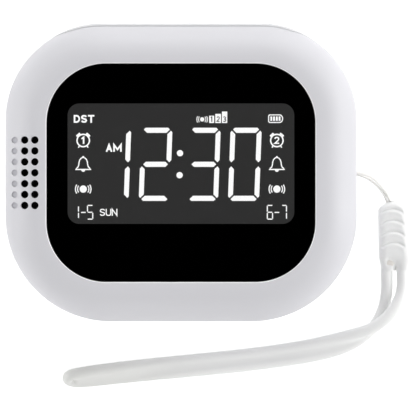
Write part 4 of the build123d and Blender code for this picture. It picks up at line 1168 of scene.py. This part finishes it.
left_x = -24.63
right_x = 24.58
sign_shapes = placed(alarm_sign(1), left_x, 6.03) + placed(alarm_sign(2), right_x, 6.03)
for sign_x in (left_x, right_x):
    sign_shapes += placed(bell_sign(), sign_x, 0.10) + placed(shaking_sign(), sign_x, -6.31)
sign_shapes += placed(shaking_sign(0.55, ((0.95, 46), (1.36, 36)), 0.20), 5.60, 11.40)
for low_x, high_x, top_y in ((7.36, 8.65, 12.34), (8.94, 10.38, 12.80), (10.62, 11.97, 13.40)):
    sign_shapes.append(box(low_x, 10.48, high_x, top_y))
battery_round = np.radians(np.linspace(-90, 90, 12))
battery_line = [(25.30 + 0.74 * math.cos(b), 11.58 + 0.96 * math.sin(b)) for b in battery_round]
battery_line += [(22.72, 12.54), (22.49, 12.30), (22.49, 10.86), (22.72, 10.62)]
sign_shapes.append(ribbon(battery_line, 0.26, closed=True))
sign_shapes += [box(cell_x, 11.02, cell_x + 0.48, 12.14) for cell_x in (22.92, 23.62, 24.32, 25.02)]
sign_mesh("display_signs", sign_shapes, display_light)
step_shapes = [
    ribbon([(7.78, 11.84), (8.04, 12.05), (8.04, 10.80)], 0.24),
    ribbon([(9.36, 11.80), (9.46, 12.00), (9.68, 12.07), (9.90, 11.97), (9.96, 11.74), (9.84, 11.48),
            (9.36, 10.90), (10.00, 10.90)], 0.22),
    ribbon([(10.99, 11.94), (11.28, 12.07), (11.54, 11.90), (11.52, 11.64), (11.26, 11.48), (11.55, 11.33),
            (11.60, 11.04), (11.30, 10.84), (10.97, 10.97)], 0.22),
]
sign_mesh("step_numbers", step_shapes, display_ground, level=sign_level + 0.00002)

# Rear keys and lock knob. Six pill-shaped keys and a ribbed slide knob, moulded in pale grey on
# the white case, with a small sign printed by each.
key_plastic = moulded("key_plastic", (0.56, 0.57, 0.59), (0.50, 0.51, 0.53), 0.55, cloud=120.0, grain=5000.0,
                      bump=0.000008)
dress([f"{use}_key" for use in ("clock", "alarm_1", "alarm_2", "down", "up", "level")], key_plastic)
dress(["lock_slider"], key_plastic)
key_print = moulded("key_print", (0.16, 0.165, 0.175), (0.12, 0.124, 0.13), 0.6, cloud=700.0, grain=8000.0,
                    bump=0.000001)
print_level = 0.00098
print_y = key_row_y - 0.00375
lock_sign_away = 0.0019


def padlock_sign(shut):
    """A padlock: a filled body and a shackle that is shut, or swung up and aside."""
    shift, lift = (0.0, 0.0) if shut else (0.62, 0.22)
    shackle = [(shift + 0.36, 0.1 + lift), *bow(shift, 0.45 + lift, 0.36, 0, 180, 16), (shift - 0.36, 0.0)]
    return [box(-0.58, -0.75, 0.58, 0.1), ribbon(shackle, 0.2)]


minus_sign = [ribbon([(-0.7, 0), (0.7, 0)], 0.24)]
key_signs = {
    "key_sign_1": [arc(0, 0, 0.86, 0, 360, 0.2, 40), ribbon([(0, 0.6), (0, 0), (0.42, -0.18)], 0.2)],
    "key_sign_2": placed(alarm_sign(1), 0, 0, 0.52),
    "key_sign_3": placed(alarm_sign(2), 0, 0, 0.52),
    "key_sign_4": minus_sign,
    "key_sign_5": minus_sign + [ribbon([(0, -0.7), (0, 0.7)], 0.2399)],
    "key_sign_6": placed(shaking_sign(), 0, 0, 0.58),
    "lock_sign_open": padlock_sign(False),
    "lock_sign_shut": padlock_sign(True),
}
sign_places = [*key_row_x, slider_slot_x - lock_sign_away, slider_slot_x + lock_sign_away]
for (sign_name, sign_shapes), sign_x in zip(key_signs.items(), sign_places):
    sign_mesh(sign_name, sign_shapes, key_print, level=print_level, centre=(sign_x, print_y),
              side=-1)

# Screws and charging socket. Zinc-plated steel screws and a nickel-plated steel sleeve with
# a black contact tongue.
plated_steel = moulded("plated_steel", (0.62, 0.62, 0.61), (0.48, 0.48, 0.48), 0.30, spread=0.2, cloud=900.0,
                       amount=0.6, grain=12000.0, bump=0.000003, Metallic=1.0)
socket_black = moulded("socket_black", (0.018, 0.018, 0.019), (0.012, 0.012, 0.012), 0.45)
dress(["case_screws", "board_screws", "usb_shell", "motor_can", "motor_shaft", "motor_clamp"], plated_steel)
dress(["usb_tongue", "motor_end_cap"], socket_black)

# Inside the closed case. Boards of green laminate, black chips, a silver pouch cell, the
# shaking motor with its brass-coloured weight, and the small speaker under the grille.
board_green = moulded("board_green", (0.02, 0.16, 0.06), (0.012, 0.10, 0.035), 0.38, cloud=500.0, amount=0.7)
chip_black = moulded("chip_black", (0.025, 0.025, 0.027), (0.018, 0.018, 0.018), 0.6)
pouch_silver = moulded("pouch_silver", (0.66, 0.66, 0.65), (0.55, 0.55, 0.55), 0.34, spread=0.2, cloud=250.0,
                       grain=1500.0, bump=0.00002, Metallic=0.9)
weight_alloy = moulded("weight_alloy", (0.42, 0.40, 0.36), (0.34, 0.32, 0.29), 0.42, Metallic=1.0)
foam_black = moulded("foam_black", (0.03, 0.03, 0.03), (0.02, 0.02, 0.02), 0.95, grain=1800.0, bump=0.00006)
mesh_black = moulded("mesh_black", (0.0025, 0.0025, 0.0025), (0.0015, 0.0015, 0.0015), 0.9, grain=3000.0,
                     bump=0.00003, Specular_IOR_Level=0.1)
plunger_grey = moulded("plunger_grey", (0.25, 0.25, 0.26), (0.20, 0.20, 0.21), 0.5)
dress(["main_board", "key_board"], board_green)
dress(["main_board_parts", "snooze_switch", "key_switches", "lock_switch", "speaker_basket"], chip_black)
dress(["battery_cell"], pouch_silver)
dress(["motor_weight", "speaker_magnet"], weight_alloy)
dress(["battery_pad", "speaker_gasket"], foam_black)
dress(["grille_mesh"], mesh_black)
dress([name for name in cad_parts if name.endswith("_plunger") or name == "lock_lever"], plunger_grey)
dress(["display_frame"], moulded("frame_plastic", (0.78, 0.78, 0.76), (0.70, 0.70, 0.68), 0.5))
dress(["light_guide"], moulded("guide_clear", (0.86, 0.88, 0.90), (0.80, 0.82, 0.84), 0.2))
dress(["contact_strips"], moulded("strip_pink", (0.55, 0.30, 0.30), (0.45, 0.24, 0.24), 0.6))
dress(["speaker_cone"], moulded("cone_film", (0.10, 0.10, 0.11), (0.07, 0.07, 0.08), 0.35))

# Table. A white table top, just under the rear face, that keeps the clock's soft shadow and
# shows white to the camera. It is clear from below, and shadow rays pass it, so that the lamp
# below lights the rear face.
floor_half = 0.5
floor_level = -0.00005
floor_glow = 0.50
floor_corners = floor_half * np.array([(-1, -1), (1, -1), (1, 1), (-1, 1)])
floor_points = np.insert(floor_corners, 2, floor_level, axis=1)
floor = new_object("table_top", new_mesh("table_top", floor_points, [(0, 1, 2, 3)]))
table_white, table_shader = new_material(
    "table_white", Base_Color=(0.90, 0.90, 0.90, 1.0), Roughness=0.9, Specular_IOR_Level=0.1,
    Emission_Color=(1.0, 1.0, 1.0, 1.0),
)
table_tree = table_white.node_tree
table_rays = add_node(table_tree, "LightPath").outputs
table_seen = calc(table_tree, "MAXIMUM", table_rays["Is Camera Ray"], table_rays["Is Glossy Ray"])
table_seen = calc(table_tree, "MAXIMUM", table_seen, table_rays["Is Transmission Ray"])
fill(table_shader, Emission_Strength=calc(table_tree, "MULTIPLY", table_seen, floor_glow))
table_back = add_node(table_tree, "NewGeometry").outputs["Backfacing"]
table_choice = add_node(
    table_tree, "MixShader", calc(table_tree, "MAXIMUM", table_back, table_rays["Is Shadow Ray"]),
    table_shader.outputs["BSDF"], add_node(table_tree, "BsdfTransparent").outputs["BSDF"],
)
fill(table_tree.nodes["Material Output"], Surface=table_choice.outputs["Shader"])
floor.data.materials.append(table_white)

# Light. A white sky that darkens overhead, so that the glossy panel stays black from the
# front. Matt surfaces get none of it from below the table. Large soft lamps stand at the four
# sides, above and below.
sky_side_level = 0.62
sky_top_level = 0.002
sky_fade = (0.45, 0.95)
world = bpy.data.worlds.new("studio")
bpy.context.scene.world = world
world.use_nodes = True
sky = world.node_tree
sky_height = place_parts(sky, "Generated")["Z"]
sky_rays = add_node(sky, "LightPath").outputs
sky_mirror = calc(sky, "MAXIMUM", sky_rays["Is Glossy Ray"], sky_rays["Is Transmission Ray"])
sky_above = calc(sky, "MULTIPLY", calc(sky, "GREATER_THAN", sky_height, 0.0), sky_side_level)
sky_side = add_node(sky, "MapRange", sky_mirror, To_Min=sky_above, To_Max=1.0).outputs["Result"]
sky_dark = add_node(sky, "MapRange", sky_height, From_Min=sky_fade[0], From_Max=sky_fade[1], To_Min=sky_side,
                    To_Max=sky_top_level, interpolation_type="SMOOTHSTEP").outputs["Result"]
sky_seen = add_node(sky, "Mix", data_type="FLOAT", Factor=sky_rays["Is Camera Ray"], A=sky_dark, B=1.0)
fill(sky.nodes["Background"], Color=(1.0, 1.0, 1.0, 1.0), Strength=sky_seen.outputs["Result"])


def soft_lamp(name, place, size, power):
    """A square area lamp that faces the clock."""
    data = bpy.data.lights.new(name, "AREA")
    data.shape = "SQUARE"
    data.size = size
    data.energy = power
    lamp = new_object(name, data)
    lamp.location = place
    x, y, z = np.array(place) - (0.0, 0.0, 0.01)
    lamp.rotation_euler = (math.atan2(math.hypot(x, y), z), 0.0, math.atan2(y, x) + math.pi / 2)


soft_lamp("lamp_top", (0.20, 1.1, 0.40), 0.9, 5.6)
soft_lamp("lamp_right", (1.1, 0.10, 0.42), 0.9, 7.2)
soft_lamp("lamp_left", (-1.1, 0.10, 0.42), 0.9, 5.0)
soft_lamp("lamp_low", (0.0, -1.1, 0.45), 0.9, 2.5)
soft_lamp("lamp_over", (-0.10, -0.45, 1.15), 0.5, 1.7)
soft_lamp("lamp_under", (0.0, 0.0, -1.2), 0.5, 5.0)

bpy.context.scene.view_settings.view_transform = "Standard"
